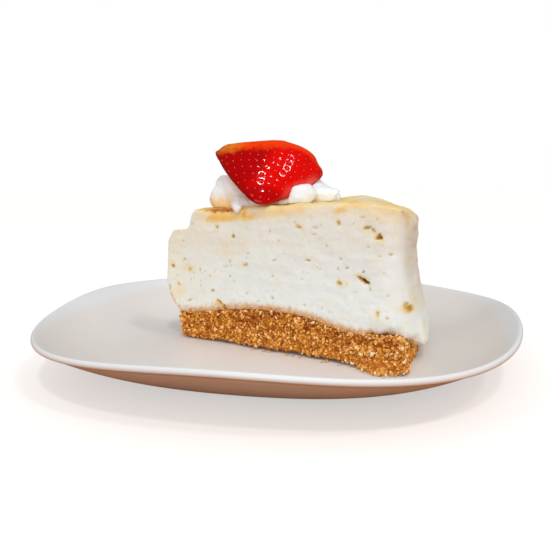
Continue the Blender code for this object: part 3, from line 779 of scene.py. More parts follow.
def rounded_corner(points, heading, side, bend):
    """The points, with the upright corner between a cut face and the wall rounded to this radius."""
    _, out = face_measures(points, heading, side)
    radius, aside, _ = slice_measures(points)
    in_face = bend + out
    in_wall = bend + radius - CAKE_RADIUS
    reach = np.hypot(in_face, in_wall)
    past = np.where((in_face > 0) & (in_wall > 0), np.maximum(reach - bend, 0.0), 0.0)
    inward = past / np.maximum(reach, 1e-9)
    along_face = -(inward * in_face)[:, None] * face_normal(heading, side)
    turn = aside + SLICE_HEADING
    ways = np.stack((np.cos(turn), np.sin(turn), np.zeros(len(points))), axis=1)
    return points + along_face - (inward * in_wall)[:, None] * ways


def rounded_filling(mesh):
    """The filling's points with even cut faces, rounded upright corners and a top that falls to the wall."""
    points = points_of(mesh)
    normals = normals_of(mesh)
    share = np.zeros(len(points))
    for heading, side in ((NEAR_HEADING, 1), (FAR_HEADING, -1)):
        points = rounded_corner(points, heading, side, CORNER_RADIUS)
        along, out = face_measures(points, heading, side)
        facing = normals @ face_normal(heading, side)
        away = np.hypot(along - 108 * MM, out)
        upright = smooth(0.8, 0.5, np.abs(normals[:, 2]))
        low = smooth_mm(26, 20, points[:, 2])
        share += 0.5 * smooth(0.93, 0.99, facing) * upright
        share += 0.5 * smooth_mm(16, 10, away) * np.maximum(upright, low)
    points = softened(mesh, points, np.minimum(share, 0.5), EVENING_ROUNDS)
    radius, _, heights = slice_measures(points)
    _, out = face_measures(points, NEAR_HEADING, 1)
    fall = smooth_mm(84, 106, radius) * smooth_mm(-3, -16, out)
    points[:, 2] -= TOP_DROOP * fall * smooth_mm(36, 56, heights)
    points[:, 2] -= sagging(points) * smooth_mm(22, 13, heights)
    return points


def baked_cheese_material(cheese):
    finish, tree = material(
        "baked_cheese", Roughness=0.55, Specular_IOR_Level=0.28,
        Subsurface_Weight=0.35, Subsurface_Scale=0.004, Subsurface_Radius=(1.0, 0.75, 0.45),
    )
    baked = ((0.0, cheese.ivory), (0.3, cheese.straw), (0.65, cheese.gold), (1.0, cheese.toast))
    tones = tree.ramp(tree.attribute("gold"), *baked)
    tones = tree.tinted(tones, tree.ramp(tree.noise(70.0, 3.0), (0.35, (0.975, 0.97, 0.95)), (0.65, WHITE)))
    speck = tree.math("MULTIPLY", tree.ramp(tree.noise(620.0, 2.0), (0.60, 0.0), (0.72, 1.0)), 0.16)
    tones = tree.mix(speck, tones, cheese.speck)
    smeared = tree.math("MULTIPLY", tree.math("POWER", tree.attribute("crumbed"), 1.3), 0.92)
    tones = tree.mix(smeared, tones, cheese.smeared)
    # Painted shade in the pits: darker towards their floors.
    depths = ((0.0, WHITE), (0.35, cheese.pit_edge_shade), (0.7, cheese.pit_wall_shade), (1.0, cheese.pit_floor_shade))
    tree.colour(tree.tinted(tones, tree.ramp(tree.attribute("pit_shade"), *depths)))
    curd = tree.bump(tree.noise(420.0, 4.0, roughness=0.6), 0.00022, 0.5)
    tree.uneven(tree.bump(tree.noise(1500.0, 2.0), 0.00006, 0.4, curd))
    return finish


def make_filling():
    cheese = settings("filling")
    finish = baked_cheese_material(cheese)
    mesh = fine_copy("filling", cheese.voxel, 5, finish)
    points = rounded_filling(mesh)
    move_points(mesh, points)
    normals = normals_of(mesh)
    radius, _, heights = slice_measures(points)
    near_pits = NEAR_PITS + tuple(small_pores(cheese.seed, cheese.pores, True))
    far_pits = FAR_PITS + tuple(small_pores(cheese.seed + 1, cheese.pores, False))
    shift = np.zeros_like(points)
    gold, dark, crumbed, covered = np.zeros((4, len(points)))
    for face in ((NEAR_HEADING, 1, near_pits, NEAR_BAKED, 0.0), (FAR_HEADING, -1, far_pits, FAR_BAKED, 5.0)):
        on_face, offset, face_gold, face_dark, face_crumbed = cut_face_detail(points, normals, face, cheese)
        shift += (on_face * offset)[:, None] * face_normal(*face[:2])
        gold = np.maximum(gold, on_face * face_gold)
        dark = np.maximum(dark, on_face * face_dark)
        crumbed = np.maximum(crumbed, on_face * face_crumbed)
        covered = np.maximum(covered, on_face)
    on_top = smooth(0.55, 0.85, normals[:, 2])
    outer = smooth_mm(80, 95, radius)
    on_wall = (1 - covered) * (1 - on_top) * outer
    on_point = (1 - covered) * (1 - on_top) * (1 - outer) * (normals[:, 2] > -0.5)
    skin = relief(points, 7, 3)
    fine = relief(points, 1.6, 2)
    shift[:, 2] += on_top * (skin * 0.35 + fine * 0.10) * MM
    outward = normals * np.array((1.0, 1.0, 0.0))
    creases = relief(points, 4, 2, (3.0, 3.0, 0.8))
    shift += outward * (on_wall * (creases * cheese.wall_crease + fine * 0.10 * MM))[:, None]
    shift += outward * (on_point * (relief(points, 3, 2) * 0.40 + fine * 0.12) * MM)[:, None]
    facing_down = smooth(-0.2, -0.7, normals[:, 2]) * (heights < 25 * MM)
    shift[:, 2] += facing_down * (relief(points, 2.2, 2) * 0.7 - 0.8) * MM
    top_gold = 0.52 + 0.20 * relief(points, 9, 3) + 0.12 * fine - 0.05 * smooth_mm(60, 90, radius)
    wall_gold = 0.10 + 0.14 * creases + 0.08 * skin + 0.32 * smooth_mm(49, 56, heights)
    point_gold = 0.10 + 0.12 * np.clip(skin, 0, 1) + 0.3 * smooth_mm(50, 55, heights)
    for share, tone in ((on_top, top_gold), (on_wall, wall_gold), (on_point, point_gold)):
        gold = np.maximum(gold, share * tone)
    move_points(mesh, points + shift)
    store(mesh, "gold", gold)
    store(mesh, "pit_shade", dark)
    store(mesh, "crumbed", crumbed)
    finished(new_object("baked_cheese_body", mesh, finish), "filling")


# Crumb base


def crumb_material(crumbs):
    finish, tree = material("biscuit_crumb", Roughness=0.8, Specular_IOR_Level=0.16)
    baked = ((0.0, crumbs.dark), (0.22, crumbs.brown), (0.6, crumbs.middle), (1.0, crumbs.light))
    # The shade attribute holds each crumb's own random tone and painted shade in the cracks and round sunk
    # crumbs.
    tones = tree.ramp(tree.attribute("shade"), *baked)
    flecks = tree.ramp(tree.noise(900.0, 2.0), (0.35, (0.84, 0.76, 0.64)), (0.65, WHITE))
    tree.colour(tree.tinted(tones, flecks))
    tree.uneven(tree.bump(tree.noise(1100.0, 3.0), 0.00015, 0.7))
    return finish


def crumb_tree(name, scatter):
    """Crumbs of random size, turn and shade: on the points that it is given, or scattered over a mesh."""
    nodes = GeometryTree(name)
    points = nodes.entry.outputs["Geometry"]
    density = nodes.input("Density", "Float", 1.0) if scatter else None
    smallest = nodes.input("Smallest", "Float", 0.3 * MM)
    largest = nodes.input("Largest", "Float", 0.6 * MM)
    seed = nodes.input("Seed", "Int", 0)
    finish = nodes.input("Finish", "Material")
    if scatter:
        points = points_on_upright_faces(nodes, density, seed)
    pick = random_value(nodes, 0.0, 1.0, nodes.math("ADD", seed, 2))
    span = nodes.math("SUBTRACT", largest, smallest)
    size = nodes.math("ADD", smallest, nodes.math("MULTIPLY", span, nodes.math("POWER", pick, 2.0)))
    uneven = random_value(nodes, (0.6, 0.6, 0.5), (1.3, 1.2, 1.0), nodes.math("ADD", seed, 1))
    feeds = {
        "Points": points,
        "Instance": nodes.out("GeometryNodeMeshIcoSphere", {"Radius": 1.0, "Subdivisions": 1}, "Mesh"),
        "Rotation": random_value(nodes, (0.0, 0.0, 0.0), (math.tau, math.tau, math.tau), seed),
        "Scale": nodes.scaled(uneven, size),
    }
    grains = nodes.out("GeometryNodeInstanceOnPoints", feeds)
    shade = nodes.math("POWER", random_value(nodes, 0.2, 1.0, nodes.math("ADD", seed, 3)), 1.5)
    feeds = {"Geometry": grains, "Name": "shade", "Value": shade}
    shaded = nodes.out("GeometryNodeStoreNamedAttribute", feeds, data_type="FLOAT", domain="INSTANCE")
    real = nodes.out("GeometryNodeRealizeInstances", {"Geometry": shaded})
    rough = nodes.out("ShaderNodeTexNoise", {"Scale": 2200.0, "Detail": 0.0}, "Color")
    centred = nodes.out("ShaderNodeVectorMath", {0: rough, 1: (0.5, 0.5, 0.5)}, operation="SUBTRACT")
    feeds = {"Geometry": real, "Offset": nodes.scaled(centred, 0.5 * MM)}
    nodes.end(nodes.out("GeometryNodeSetPosition", feeds), finish)
    return nodes


def points_on_upright_faces(nodes, density, seed):
    """Random points on the faces of the tree's own mesh that stand upright."""
    normal = nodes.out("GeometryNodeInputNormal")
    upright = nodes.math("ABSOLUTE", nodes.out("ShaderNodeSeparateXYZ", {0: normal}, 2))
    chosen = nodes.out("FunctionNodeCompare", {0: upright, 1: 0.8}, operation="LESS_THAN")
    feeds = {"Mesh": nodes.entry.outputs["Geometry"], "Selection": chosen, "Density": density, "Seed": seed}
    return nodes.out("GeometryNodeDistributePointsOnFaces", feeds, "Points")


def random_value(nodes, low, high, seed):
    """Random numbers from low to high, or random vectors where these are vectors."""
    kind, first, output = ("FLOAT_VECTOR", 0, 0) if isinstance(low, tuple) else ("FLOAT", 2, 1)
    feeds = {first: low, first + 1: high, "Seed": seed}
    return nodes.out("FunctionNodeRandomValue", feeds, output, data_type=kind)


def make_crust():
    crumbs = settings("crumbs")
    finish = crumb_material(crumbs)
    mesh = fine_copy("crust", crumbs.voxel, 2, finish)
    points = points_of(mesh)
    normals = normals_of(mesh)
    heights = points[:, 2] - WELL_HEIGHT
    coarse = pebbles(points, 2.8)
    fine = pebbles(points + 0.1, 1.3)
    rough = (coarse * 0.5 + fine * 0.5 - 0.8) * crumbs.relief
    standing = smooth(0.9, 0.6, np.abs(normals[:, 2]))
    shift = normals * np.array((1.0, 1.0, 0.25)) * (rough * standing)[:, None]
    shift[:, 2] += 0.4 * MM * smooth(0.7, 0.9, normals[:, 2]) * (heights > 3.5 * MM)
    shift[:, 2] -= sagging(points) * smooth_mm(4, 10, heights)
    move_points(mesh, points + shift)
    low = smooth_mm(12, 3, heights)
    # Painted shade: the base is darker in the cracks between its grains, and a little lighter near its foot.
    store(mesh, "shade", 0.02 + 0.34 * fine * coarse + 0.08 * relief(points, 3, 2) + 0.06 * low)
    finished(new_object("crumb_base", mesh, finish), "crust")
    spots, clinging = spots_at_edges(points, normals, heights, crumbs)
    crumbs_at("clinging_crumbs", clinging, crumbs, finish, 0.5)
    crumbs_at("rim_crumbs", spots, crumbs, finish)
    bed = new_object("crumb_bed", mesh.copy(), finish)
    sizes = {"Smallest": crumbs.smallest, "Largest": crumbs.largest, "Seed": crumbs.seed, "Finish": finish}
    scattered = crumb_tree("pressed_crumbs", True).bake(bed, Density=crumbs.density * PER_SQUARE_MM, **sizes)
    shaded_roots(scattered, mesh)
    finished(new_object("pressed_crumbs", scattered, finish), None).data.shade_flat()


def spots_at_edges(points, normals, heights, crumbs):
    """Places of the crumbs at the base's upper edge and foot, and of those smeared on the cheese."""
    draw = random.Random(crumbs.seed)
    places = [Vector(point) for point in points]
    ways = [Vector(normal) for normal in normals]
    sunk = sagging(points)
    rim = np.flatnonzero((normals[:, 2] > 0.2) & (normals[:, 2] < 0.85) & (heights > 4 * MM))
    spots = []
    for k in draw.choices(list(rim), k=crumbs.rim):
        lift = draw.uniform(-0.6, 0.8) * MM - sunk[k]
        spots.append(places[k] + ways[k] * draw.uniform(-0.1, 0.35) * MM + UP * lift)
    _, near_out = face_measures(points, NEAR_HEADING, 1)
    far_end = (near_out > -2 * MM) & (slice_measures(points)[0] > 86 * MM)
    ahead = Vector(face_normal(NEAR_HEADING, 1))
    for k in draw.choices(list(np.flatnonzero(far_end & (heights < 1.2 * MM))), k=crumbs.foot):
        spread = 3.6 * draw.random() ** 1.3
        spots.append(places[k] + ahead * spread * MM + UP * draw.uniform(0.0, 1.1 - 0.2 * spread) * MM)
    for k in draw.choices([k for k in rim if far_end[k]], k=crumbs.foot):
        spots.append(places[k] + ahead * draw.uniform(-0.3, 0.5) * MM + UP * draw.uniform(0.1, 1.7) * MM)
    skin = surface_tree(merged_copy("filling"))
    clinging = []
    for k in draw.choices(list(rim), k=crumbs.clinging):
        lift = min(draw.expovariate(0.9), 3.5) * MM - sunk[k]
        place, normal, _, _ = skin.find_nearest(places[k] + ways[k] * MM + UP * lift)
        if abs(normal.z) < 0.6:
            clinging.append(place)
    return spots, clinging


def shaded_roots(grains, bed):
    """Paints shade on the crumbs where they are sunk in the base, darkest at its surface."""
    skin = surface_tree(bed)
    depth = np.array([skin.find_nearest(Vector(point))[3] for point in points_of(grains)])
    stored = grains.attributes["shade"].data
    shade = np.empty(len(depth), dtype=np.float32)
    stored.foreach_get("value", shade)
    shade = shade * (0.3 + 0.7 * smooth(0.0, 0.55 * MM, depth))
    stored.foreach_set("value", shade.astype(np.float32))


def loose_crumb_points(crumbs):
    """Where crumbs have dropped: along the foot of the shown face, most of them at its outer end."""
    draw = random.Random(crumbs.seed)
    spots = []
    for _ in range(crumbs.loose):
        share = draw.random() ** 0.3
        along = (10 + 98 * share) * MM
        out = (2.0 + 7.0 * draw.random() * share**3) * MM
        x = SLICE_POINT.x + along * math.cos(NEAR_HEADING) + out * math.sin(NEAR_HEADING)
        y = SLICE_POINT.y + along * math.sin(NEAR_HEADING) - out * math.cos(NEAR_HEADING)
        spots.append((x, y))
    return spots


def crumbs_at(name, spots, crumbs, finish, share=1.0):
    """One uneven crumb at each of these places, joined into one piece."""
    bed = bpy.data.meshes.new(name + "_spots")
    bed.from_pydata(spots, [], [])
    scattered = crumb_tree(name, False).bake(
        new_object(name + "_bed", bed, finish),
        Smallest=crumbs.smallest * share,
        Largest=crumbs.largest * share,
        Seed=crumbs.seed + 30,
        Finish=finish,
    )
    finished(new_object(name, scattered, finish), None).data.shade_flat()


def make_loose_crumbs():
    crumbs = settings("crumbs")
    plate = settings("plate")
    spots = []
    for x, y in loose_crumb_points(crumbs):
        turn = math.atan2(y, x)
        round_radius = math.hypot(x, y) / (1 - plate.squareness * math.cos(4 * turn))
        spots.append((x, y, coupe_height(round_radius, plate) + crumbs.smallest * 0.8))
    crumbs_at("loose_crumbs", spots, crumbs, bpy.data.materials["biscuit_crumb"])


# Cream


def cream_material(cream):
    finish, tree = material(
        "whipped_cream", Roughness=0.42, Specular_IOR_Level=0.4,
        Subsurface_Weight=0.4, Subsurface_Scale=0.004, Subsurface_Radius=(1.0, 0.85, 0.7),
    )
    tree.colour(tree.mix(tree.attribute("honey"), cream.white, cream.honey))
    tree.uneven(tree.bump(tree.noise(500.0, 3.0), 0.00012, 0.35))
    return finish


def nearest(skin, point):
    """The skin's closest place and its direction there, and how far the point is outside it."""
    place, normal, _, _ = skin.find_nearest(point)
    return place, normal, (point - place).dot(normal)


def kept_clear(skin, point):
    """The point, moved out to the clearance where it is closer to the skin or inside it."""
    place, normal, gap = nearest(skin, point)
    return place + normal * CLEARANCE if gap < CLEARANCE else point


def pushed_cream(mesh):
    """The cream's points, with the dollop pushed into its shape round the fruit.

    Its left lobe is swollen, its front mound raised, its right end let down and joined to the mound, and a
    small tongue is spilled over the edge of the cheese.
    """
    points = points_of(mesh)
    x, y, z = (points / MM).T
    left = smooth(-17, -23, x) * smooth(63.5, 67, z)
    front = smooth(-8, -13, y) * smooth(2, 7, x) * smooth(20, 15, x)
    right = smooth(15, 19, x)
    shift_x = -2.0 * left + 1.8 * smooth(18, 24, x) * smooth(72, 68, z)
    shift_z = 0.5 * left - 2.1 * right * smooth(69.5, 74, z)
    raised = np.stack((np.zeros(len(points)), -0.9 * front, 1.9 * front * smooth(66.5, 70, z)), axis=1) * MM
    joined = smooth(11, 14, x) * smooth(31, 27, x) * smooth(-1, -6, y)
    raised += normals_of(mesh) * np.array((1.0, 1.0, 0.6)) * (1.1 * MM * joined)[:, None]
    fruit = surface_tree(merged_copy("strawberry"))
    moved = points.copy()
    for k in np.flatnonzero(np.abs(shift_x) + np.abs(shift_z) + front + joined > 0.01):
        start = Vector(points[k])
        step = Vector((shift_x[k], 0.0, shift_z[k])) * MM
        share = 1.0
        while share > 0.05 and nearest(fruit, start + step * share)[2] < CLEARANCE:
            share -= 0.05
        point = start + step * share + Vector(raised[k])
        moved[k] = kept_clear(fruit, point) if front[k] + joined[k] > 0.01 else point
    moved = softened(mesh, moved, np.full(len(points), 0.5), 5)
    spill = bell(x, -13.5, 4.0) * smooth(-3, -9, y) * smooth(70, 65, z)
    cheese = surface_tree(merged_copy("filling"))
    for k in np.flatnonzero(spill > 0.02):
        moved[k] = kept_clear(cheese, Vector(moved[k] + np.array((0.0, -4.5, -2.4)) * MM * spill[k]))
    return moved


def rounded_cream(mesh):
    """Rounds the right end and the front mound, and returns the points and their share in the front mound."""
    points = points_of(mesh)
    move_points(mesh, softened(mesh, points, 0.5 * smooth_mm(15, 21, points[:, 0]), 45))
    points = points_of(mesh)
    in_front = smooth_mm(3, 8, points[:, 0]) * smooth_mm(-4, -8, points[:, 1])
    move_points(mesh, softened(mesh, points, 0.5 * in_front, 14))
    return points_of(mesh), in_front


def make_cream():
    cream = settings("cream")
    finish = cream_material(cream)
    mesh = fine_copy("whipped_cream", cream.voxel, 6, finish)
    move_points(mesh, pushed_cream(mesh))
    mesh = remeshed(mesh, cream.voxel, 8, finish)
    points, in_front = rounded_cream(mesh)
    normals = normals_of(mesh)
    over = points[:, 2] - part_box("whipped_cream")[0][2]
    folds = relief(points, 3.6, 2, (1.0, 1.0, 0.7)) * cream.ripple * (1 - 0.4 * in_front)
    dabs = relief(points, 1.7, 2) * cream.ripple * (0.4 - 0.1 * in_front)
    free = smooth(-0.6, -0.2, normals[:, 2])
    shift = normals * ((folds + dabs) * free)[:, None]
    shift[:, 2] -= 1.0 * MM * smooth(0.0, -0.7, normals[:, 2]) * (over < 4 * MM)
    foot = 0.6 * MM * smooth_mm(1.8, 0.2, over) * free
    shift += normals * np.array((1.0, 1.0, 0.0)) * foot[:, None]
    radius = slice_measures(points)[0]
    _, out = face_measures(points, NEAR_HEADING, 1)
    # A warmer tone near the cream's foot, strongest at its left front towards the cut face.
    near_foot = smooth_mm(6.5, 1.0, over + relief(points, 3, 2) * 1.5 * MM)
    honey = near_foot * smooth_mm(37, 31, radius) * smooth_mm(-17, -9, out)
    move_points(mesh, points + shift)
    store(mesh, "honey", honey * 0.9 + 0.10 * near_foot)
    finished(new_object("cream_dollop", mesh, finish), "whipped_cream")


# Strawberry


def berry_frame():
    heading, roll, lean = BERRY_TURNS
    turned = Matrix.Rotation(heading, 4, "Z") @ Matrix.Rotation(roll, 4, "Y") @ Matrix.Rotation(lean, 4, "X")
    return Matrix.Translation(BERRY_POINT) @ turned


def berry_material(berry):
    finish, tree = material("berry_skin", Roughness=0.09, Specular_IOR_Level=0.23)
    patchy = tree.math("MULTIPLY", tree.noise(60.0, 3.0), 0.5)
    redness = tree.math("SUBTRACT", tree.math("ADD", patchy, 0.75), tree.attribute("deep"))
    red_skin_and_painted_light = tree.ramp(redness, (0.35, berry.deep_red), (0.75, berry.red))
    # Painted reflection of the cream near the skin's right edge.
    red_skin_and_painted_light = tree.mix(tree.part_of("flush", 0.8), red_skin_and_painted_light, berry.flush)
    # Painted shade along the cut edges of the skin.
    red_skin_and_painted_light = tree.mix(tree.part_of("limb_shade", 0.75), red_skin_and_painted_light, berry.limb_shade)
    shoulder = tree.mix(tree.attribute("olive"), berry.orange, berry.olive)
    skin = tree.mix(tree.attribute("unripe"), red_skin_and_painted_light, shoulder)
    # Painted shade in the hollows round the seeds.
    skin = tree.mix(tree.part_of("dimple", 0.25), skin, berry.hollow_and_shade)
    fibres = tree.ramp(tree.noise(260.0, 3.0), (0.4, berry.flesh), (0.6, berry.fibre))
    inner = tree.mix(tree.attribute("core"), fibres, berry.core)
    tree.colour(tree.mix(tree.attribute("cut"), skin, inner))
    tree.uneven(tree.bump(tree.noise(420.0, 2.0), 0.00004, 0.08))
    return finish


def seed_spots(skin, berry):
    """(place, outward direction) of each seed, in staggered rows round the half fruit, in its own frame."""
    spots = []
    pitch = berry.seed_spacing * SEED_ROW_PITCH
    for row in range(int((BERRY_LENGTH - 4 * MM) / pitch)):
        y = 2.6 * MM + row * pitch
        reach = [skin.ray_cast(Vector((0, y, 0.5 * MM)), Vector((way, 0, 0)))[3] for way in (-1, 1)]
        if None in reach:
            continue
        arc = (reach[0] + reach[1]) * 1.25
        in_row = max(int(arc / berry.seed_spacing), 1)
        for k in range(in_row):
            turn = math.pi * (k + 0.5 + 0.25 * (-1) ** row) / (in_row + 0.5)
            way = Vector((math.cos(turn) * 1.6, 0.0, math.sin(turn))).normalized()
            place, normal, _, _ = skin.ray_cast(Vector((0, y, 0.3 * MM)), way)
            if place is not None and place.z > 1.2 * MM:
                spots.append((place, normal))
    return spots


def seed_tree():
    """Stands a flattened seed on each point, pointing along its stored outward direction."""
    nodes = GeometryTree("berry_seeds")
    size = nodes.input("Size", "Float", 0.0006)
    seed = nodes.input("Seed", "Int", 0)
    finish = nodes.input("Finish", "Material")
    out = nodes.out("GeometryNodeInputNamedAttribute", {"Name": "out"}, data_type="FLOAT_VECTOR")
    uneven = random_value(nodes, (0.75, 1.15, 0.5), (0.95, 1.5, 0.6), seed)
    ball = {"Segments": 10, "Rings": 6, "Radius": 1.0}
    feeds = {
        "Points": nodes.entry.outputs["Geometry"],
        "Instance": nodes.out("GeometryNodeMeshUVSphere", ball, "Mesh"),
        "Rotation": nodes.out("FunctionNodeAlignRotationToVector", {"Vector": out}, axis="Z"),
        "Scale": nodes.scaled(uneven, size),
    }
    nodes.end(nodes.out("GeometryNodeInstanceOnPoints", feeds), finish)
    return nodes


def seed_material(berry):
    finish, tree = material("berry_seed", Roughness=0.35, Coat_Weight=0.4, Coat_Roughness=0.1)
    darker = tuple(value * 0.72 for value in berry.seed)
    tree.colour(tree.ramp(tree.noise(320.0, 1.0), (0.4, darker), (0.6, berry.seed)))
    return finish


def trimmed_berry(points):
    """The fruit's points, with its right end narrowed and its upper left corner cut off slantwise."""
    x, _, z = (points / MM).T
    moved_x = -1.5 * bell(z, 81.3, 2.8) * smooth(9, 15, x) - 0.6 * smooth(-19, -24, x) * bell(z, 85.5, 2.5)
    moved_z = -1.3 * smooth(-20, -25, x) * smooth(86.5, 88.5, z)
    return points + np.stack((moved_x, np.zeros(len(points)), moved_z), axis=1) * MM


def make_strawberry():
    berry = settings("berry")
    finish = berry_material(berry)
    mesh = fine_copy("strawberry", berry.voxel, 3, finish)
    move_points(mesh, trimmed_berry(points_of(mesh)))
    to_fruit = berry_frame().inverted()
    mesh.transform(to_fruit)
    points = points_of(mesh)
    normals = normals_of(mesh)
    spots = seed_spots(surface_tree(mesh), berry)
    to_seed = np.full(len(points), 1.0)
    for place, _ in spots:
        to_seed = np.minimum(to_seed, np.linalg.norm(points - np.array(place), axis=1))
    outer = smooth(-0.3, 0.2, normals[:, 2]) * smooth_mm(0.3, 1.2, points[:, 2])
    # The hollows round the seeds are sunk, and their mask also carries painted shade.
    hollow_and_shade = bell(to_seed, 0.0, 0.85 * MM) * outer
    swell = relief(points, 8, 1) * 0.25 * MM * outer
    shift = normals * (swell - hollow_and_shade * berry.dimple)[:, None]
    move_points(mesh, points + shift)
    along = points[:, 1] / BERRY_LENGTH
    streak = relief(points, 2.4, 2)
    placed = points @ np.array(berry_frame().to_3x3()).T + np.array(berry_frame().translation)
    under = FLAT_TOP + FLAT_SLOPE * placed[:, 0] - placed[:, 2]
    unripe = smooth_mm(4.6, 1.2, under + 1.3 * MM * streak)
    unripe = np.maximum(unripe, 0.9 * smooth(0.80, 0.865, along + 0.03 * streak)) * outer
    rim = points[:, 2] / MM
    aside = points[:, 0] / MM
    # Painted reflection of the cream on the right edge, near the cut and the point.
    flush = smooth(5.2, 2.6, rim + streak * 0.5) * smooth(7, 12, aside) * smooth_mm(24, 18, points[:, 1])
    # Painted shade along both cut edges, where the skin turns away.
    limb_shade = smooth(1.6, 0.4, rim) * np.maximum(smooth(2, -2, aside), smooth(19.0, 20.5, aside)) * (1 - unripe)
    tones = {
        "unripe": unripe,
        "flush": flush * outer,
        "limb_shade": limb_shade,
        "olive": smooth(-8, -17, aside),
        # Darker red towards the left side and towards the point.
        "deep": np.maximum(0.75 * smooth(3, -14, aside - 10 * along), 0.62 * smooth(0.36, 0.12, along)),
        "dimple": hollow_and_shade,
        "cut": smooth(0.5, 0.85, -normals[:, 2]) * smooth_mm(1.2, 0.6, points[:, 2]),
        "core": bell(points[:, 0], 0.0, 6 * MM) * bell(along, 0.6, 0.3),
    }
    for name, values in tones.items():
        store(mesh, name, values)
    mesh.transform(berry_frame())
    finished(new_object("strawberry_half", mesh, finish), "strawberry")
    add_seeds(spots, berry)


def add_seeds(spots, berry):
    finish = seed_material(berry)
    turned = berry_frame().to_3x3()
    bed = bpy.data.meshes.new("seed_spots")
    sunk = [place - normal * berry.dimple * 0.75 for place, normal in spots]
    bed.from_pydata([berry_frame() @ place for place in sunk], [], [])
    out = bed.attributes.new("out", "FLOAT_VECTOR", "POINT")
    out.data.foreach_set("vector", [value for _, normal in spots for value in turned @ normal])
    seeds = seed_tree().bake(new_object("seed_bed", bed, finish), Size=berry.seed_size, Seed=4, Finish=finish)
    finished(new_object("berry_seeds", seeds, finish), None)


# Stage


def add_light(name, kind, place, aim, **values):
    lamp = bpy.data.lights.new(name, kind)
    for key, value in values.items():
        setattr(lamp, key, value)
    made = bpy.data.objects.new(name, lamp)
    bpy.context.scene.collection.objects.link(made)
    place = Vector(place)
    made.location = place
    made.rotation_euler = (Vector(aim) - place).to_track_quat("-Z", "Y").to_euler()


def make_floor(stage):
    finish, tree = material("pale_floor", Roughness=0.8, Specular_IOR_Level=0.1)
    tree.sockets["Emission Color"].default_value = (1.0, 1.0, 1.0, 1.0)
    seen = tree.out("ShaderNodeLightPath", output="Is Camera Ray")
    tree.feed(tree.sockets["Emission Strength"], tree.math("MULTIPLY", seen, stage.lift))
    darker = tuple(value * 0.99 for value in stage.floor)
    cloudy = tree.ramp(tree.noise(3.0), (0.3, darker), (0.7, stage.floor))
    tree.colour(tree.mix(seen, stage.bounce, cloudy))
    mesh = bpy.data.meshes.new("floor")
    grid = bmesh.new()
    bmesh.ops.create_grid(grid, x_segments=2, y_segments=2, size=FLOOR_HALF_SIZE)
    grid.to_mesh(mesh)
    grid.free()
    new_object("floor", mesh, finish)


def make_camera():
    """The photograph's view: low in front of the slice, turned a little to its left."""
    sine, cosine = math.sin(CAMERA_AZIMUTH), math.cos(CAMERA_AZIMUTH)
    level = math.cos(CAMERA_DOWN)
    right = Vector((cosine, sine, 0.0))
    ahead = Vector((-sine * level, cosine * level, -math.sin(CAMERA_DOWN)))
    up = right.cross(ahead)
    rolled_right = right * math.cos(CAMERA_ROLL) + up * math.sin(CAMERA_ROLL)
    rolled_up = up * math.cos(CAMERA_ROLL) - right * math.sin(CAMERA_ROLL)
    lens = bpy.data.cameras.new("camera")
    lens.sensor_width = SENSOR_WIDTH
    lens.lens = SENSOR_WIDTH * FOCAL_LENGTH / PICTURE_WIDTH
    lens.clip_start = 0.01
    camera = bpy.data.objects.new("camera", lens)
    bpy.context.scene.collection.objects.link(camera)
    axes = Matrix((rolled_right, rolled_up, -ahead)).transposed()
    camera.matrix_world = Matrix.Translation(CAMERA_PLACE) @ axes.to_4x4()
    bpy.context.scene.camera = camera


def make_sky(stage):
    """Even white light, with the warm tone of a room low down, behind a plain white backdrop."""
    world = bpy.data.worlds.new("studio")
    world.use_nodes = True
    sky = ShaderTree(world.node_tree)
    way = sky.out("ShaderNodeTexCoord", output="Generated")
    up = sky.out("ShaderNodeSeparateXYZ", {0: way}, 2)
    rays = sky.node("ShaderNodeLightPath").outputs
    seen, mirrored = rays["Is Camera Ray"], rays["Is Glossy Ray"]
    tone = sky.mix(mirrored, sky.ramp(up, (0.08, stage.horizon), (0.36, WHITE)), stage.room)
    left = sky.math("SUBTRACT", 1.0, sky.math("MULTIPLY", mirrored, stage.mirrored))
    strength = sky.math("MAXIMUM", seen, sky.math("MULTIPLY", left, stage.sky))
    shell = world.node_tree.nodes["Background"]
    sky.feed(shell.inputs["Color"], sky.mix(seen, tone, WHITE))
    sky.feed(shell.inputs["Strength"], strength)
    bpy.context.scene.world = world


def make_stage():
    stage = settings("stage")
    make_floor(stage)
    make_sky(stage)
    for name, place, share, wide in WINDOWS:
        add_light(name, "SUN", place, (0.0, 0.0, 0.0), energy=stage.window * share, angle=math.radians(wide))
    wide, high = SOFTBOX_SIZE
    front = {"shape": "RECTANGLE", "size": wide, "size_y": high}
    front |= {"energy": stage.fill, "color": stage.fill_tone}
    add_light("front_softbox", "AREA", SOFTBOX_PLACE, SOFTBOX_AIM, **front)
    make_camera()
    bpy.context.scene.view_settings.view_transform = "Standard"


# Add-on


class CHEESECAKE_OT_plate(bpy.types.Operator):
    """Makes the glazed plate"""

    bl_idname = "cheesecake.plate"
    bl_label = "Plate"

    def execute(self, context):
        make_plate()
        return {"FINISHED"}


class CHEESECAKE_OT_crust(bpy.types.Operator):
    """Makes the biscuit base and the crumbs pressed into it"""

    bl_idname = "cheesecake.crust"
    bl_label = "Crumb base"

    def execute(self, context):
        make_crust()
        return {"FINISHED"}


class CHEESECAKE_OT_loose_crumbs(bpy.types.Operator):
    """Drops loose crumbs on the plate"""

    bl_idname = "cheesecake.loose_crumbs"
    bl_label = "Loose crumbs"

    def execute(self, context):
        make_loose_crumbs()
        return {"FINISHED"}


class CHEESECAKE_OT_filling(bpy.types.Operator):
    """Makes the baked cheese with its pits and golden skin"""

    bl_idname = "cheesecake.filling"
    bl_label = "Filling"

    def execute(self, context):
        make_filling()
        return {"FINISHED"}


class CHEESECAKE_OT_cream(bpy.types.Operator):
    """Makes the whipped cream"""

    bl_idname = "cheesecake.cream"
    bl_label = "Whipped cream"

    def execute(self, context):
        make_cream()
        return {"FINISHED"}


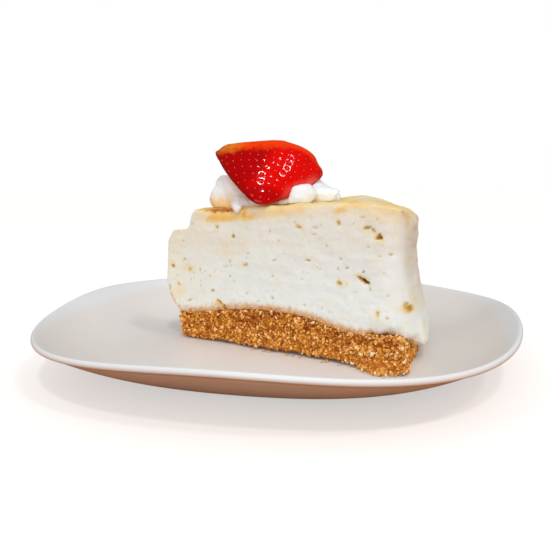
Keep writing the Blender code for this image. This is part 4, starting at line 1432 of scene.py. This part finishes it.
class CHEESECAKE_OT_strawberry(bpy.types.Operator):
    """Makes the strawberry half and its seeds"""

    bl_idname = "cheesecake.strawberry"
    bl_label = "Strawberry"

    def execute(self, context):
        make_strawberry()
        return {"FINISHED"}


class CHEESECAKE_OT_stage(bpy.types.Operator):
    """Makes the floor, the lights and the camera"""

    bl_idname = "cheesecake.stage"
    bl_label = "Stage"

    def execute(self, context):
        make_stage()
        return {"FINISHED"}


SETTINGS = {
    "plate": PlateSettings,
    "crumbs": CrumbSettings,
    "filling": FillingSettings,
    "cream": CreamSettings,
    "berry": BerrySettings,
    "stage": StageSettings,
}
OPERATORS = (
    CHEESECAKE_OT_plate,
    CHEESECAKE_OT_crust,
    CHEESECAKE_OT_loose_crumbs,
    CHEESECAKE_OT_filling,
    CHEESECAKE_OT_cream,
    CHEESECAKE_OT_strawberry,
    CHEESECAKE_OT_stage,
)


class CHEESECAKE_PT_panel(bpy.types.Panel):
    """Lists the operators and the sizes and colours that they use"""

    bl_label = "Cheesecake"
    bl_idname = "CHEESECAKE_PT_panel"
    bl_space_type = "VIEW_3D"
    bl_region_type = "UI"
    bl_category = "Cheesecake"

    def draw(self, context):
        for operator in OPERATORS:
            self.layout.operator(operator.bl_idname)
        for group, kind in SETTINGS.items():
            box = self.layout.box()
            box.label(text=group.capitalize())
            for name in kind.__annotations__:
                box.prop(settings(group), name)


def register():
    for group, kind in SETTINGS.items():
        bpy.utils.register_class(kind)
        setattr(bpy.types.Scene, "cheesecake_" + group, PointerProperty(type=kind))
    for kind in (*OPERATORS, CHEESECAKE_PT_panel):
        bpy.utils.register_class(kind)


def unregister():
    for kind in reversed((*OPERATORS, CHEESECAKE_PT_panel)):
        bpy.utils.unregister_class(kind)
    for group, kind in SETTINGS.items():
        delattr(bpy.types.Scene, "cheesecake_" + group)
        bpy.utils.unregister_class(kind)


def main():
    register()
    bpy.ops.cheesecake.plate()
    bpy.ops.cheesecake.crust()
    bpy.ops.cheesecake.loose_crumbs()
    bpy.ops.cheesecake.filling()
    bpy.ops.cheesecake.cream()
    bpy.ops.cheesecake.strawberry()
    bpy.ops.cheesecake.stage()


if __name__ == "__main__":
    main()
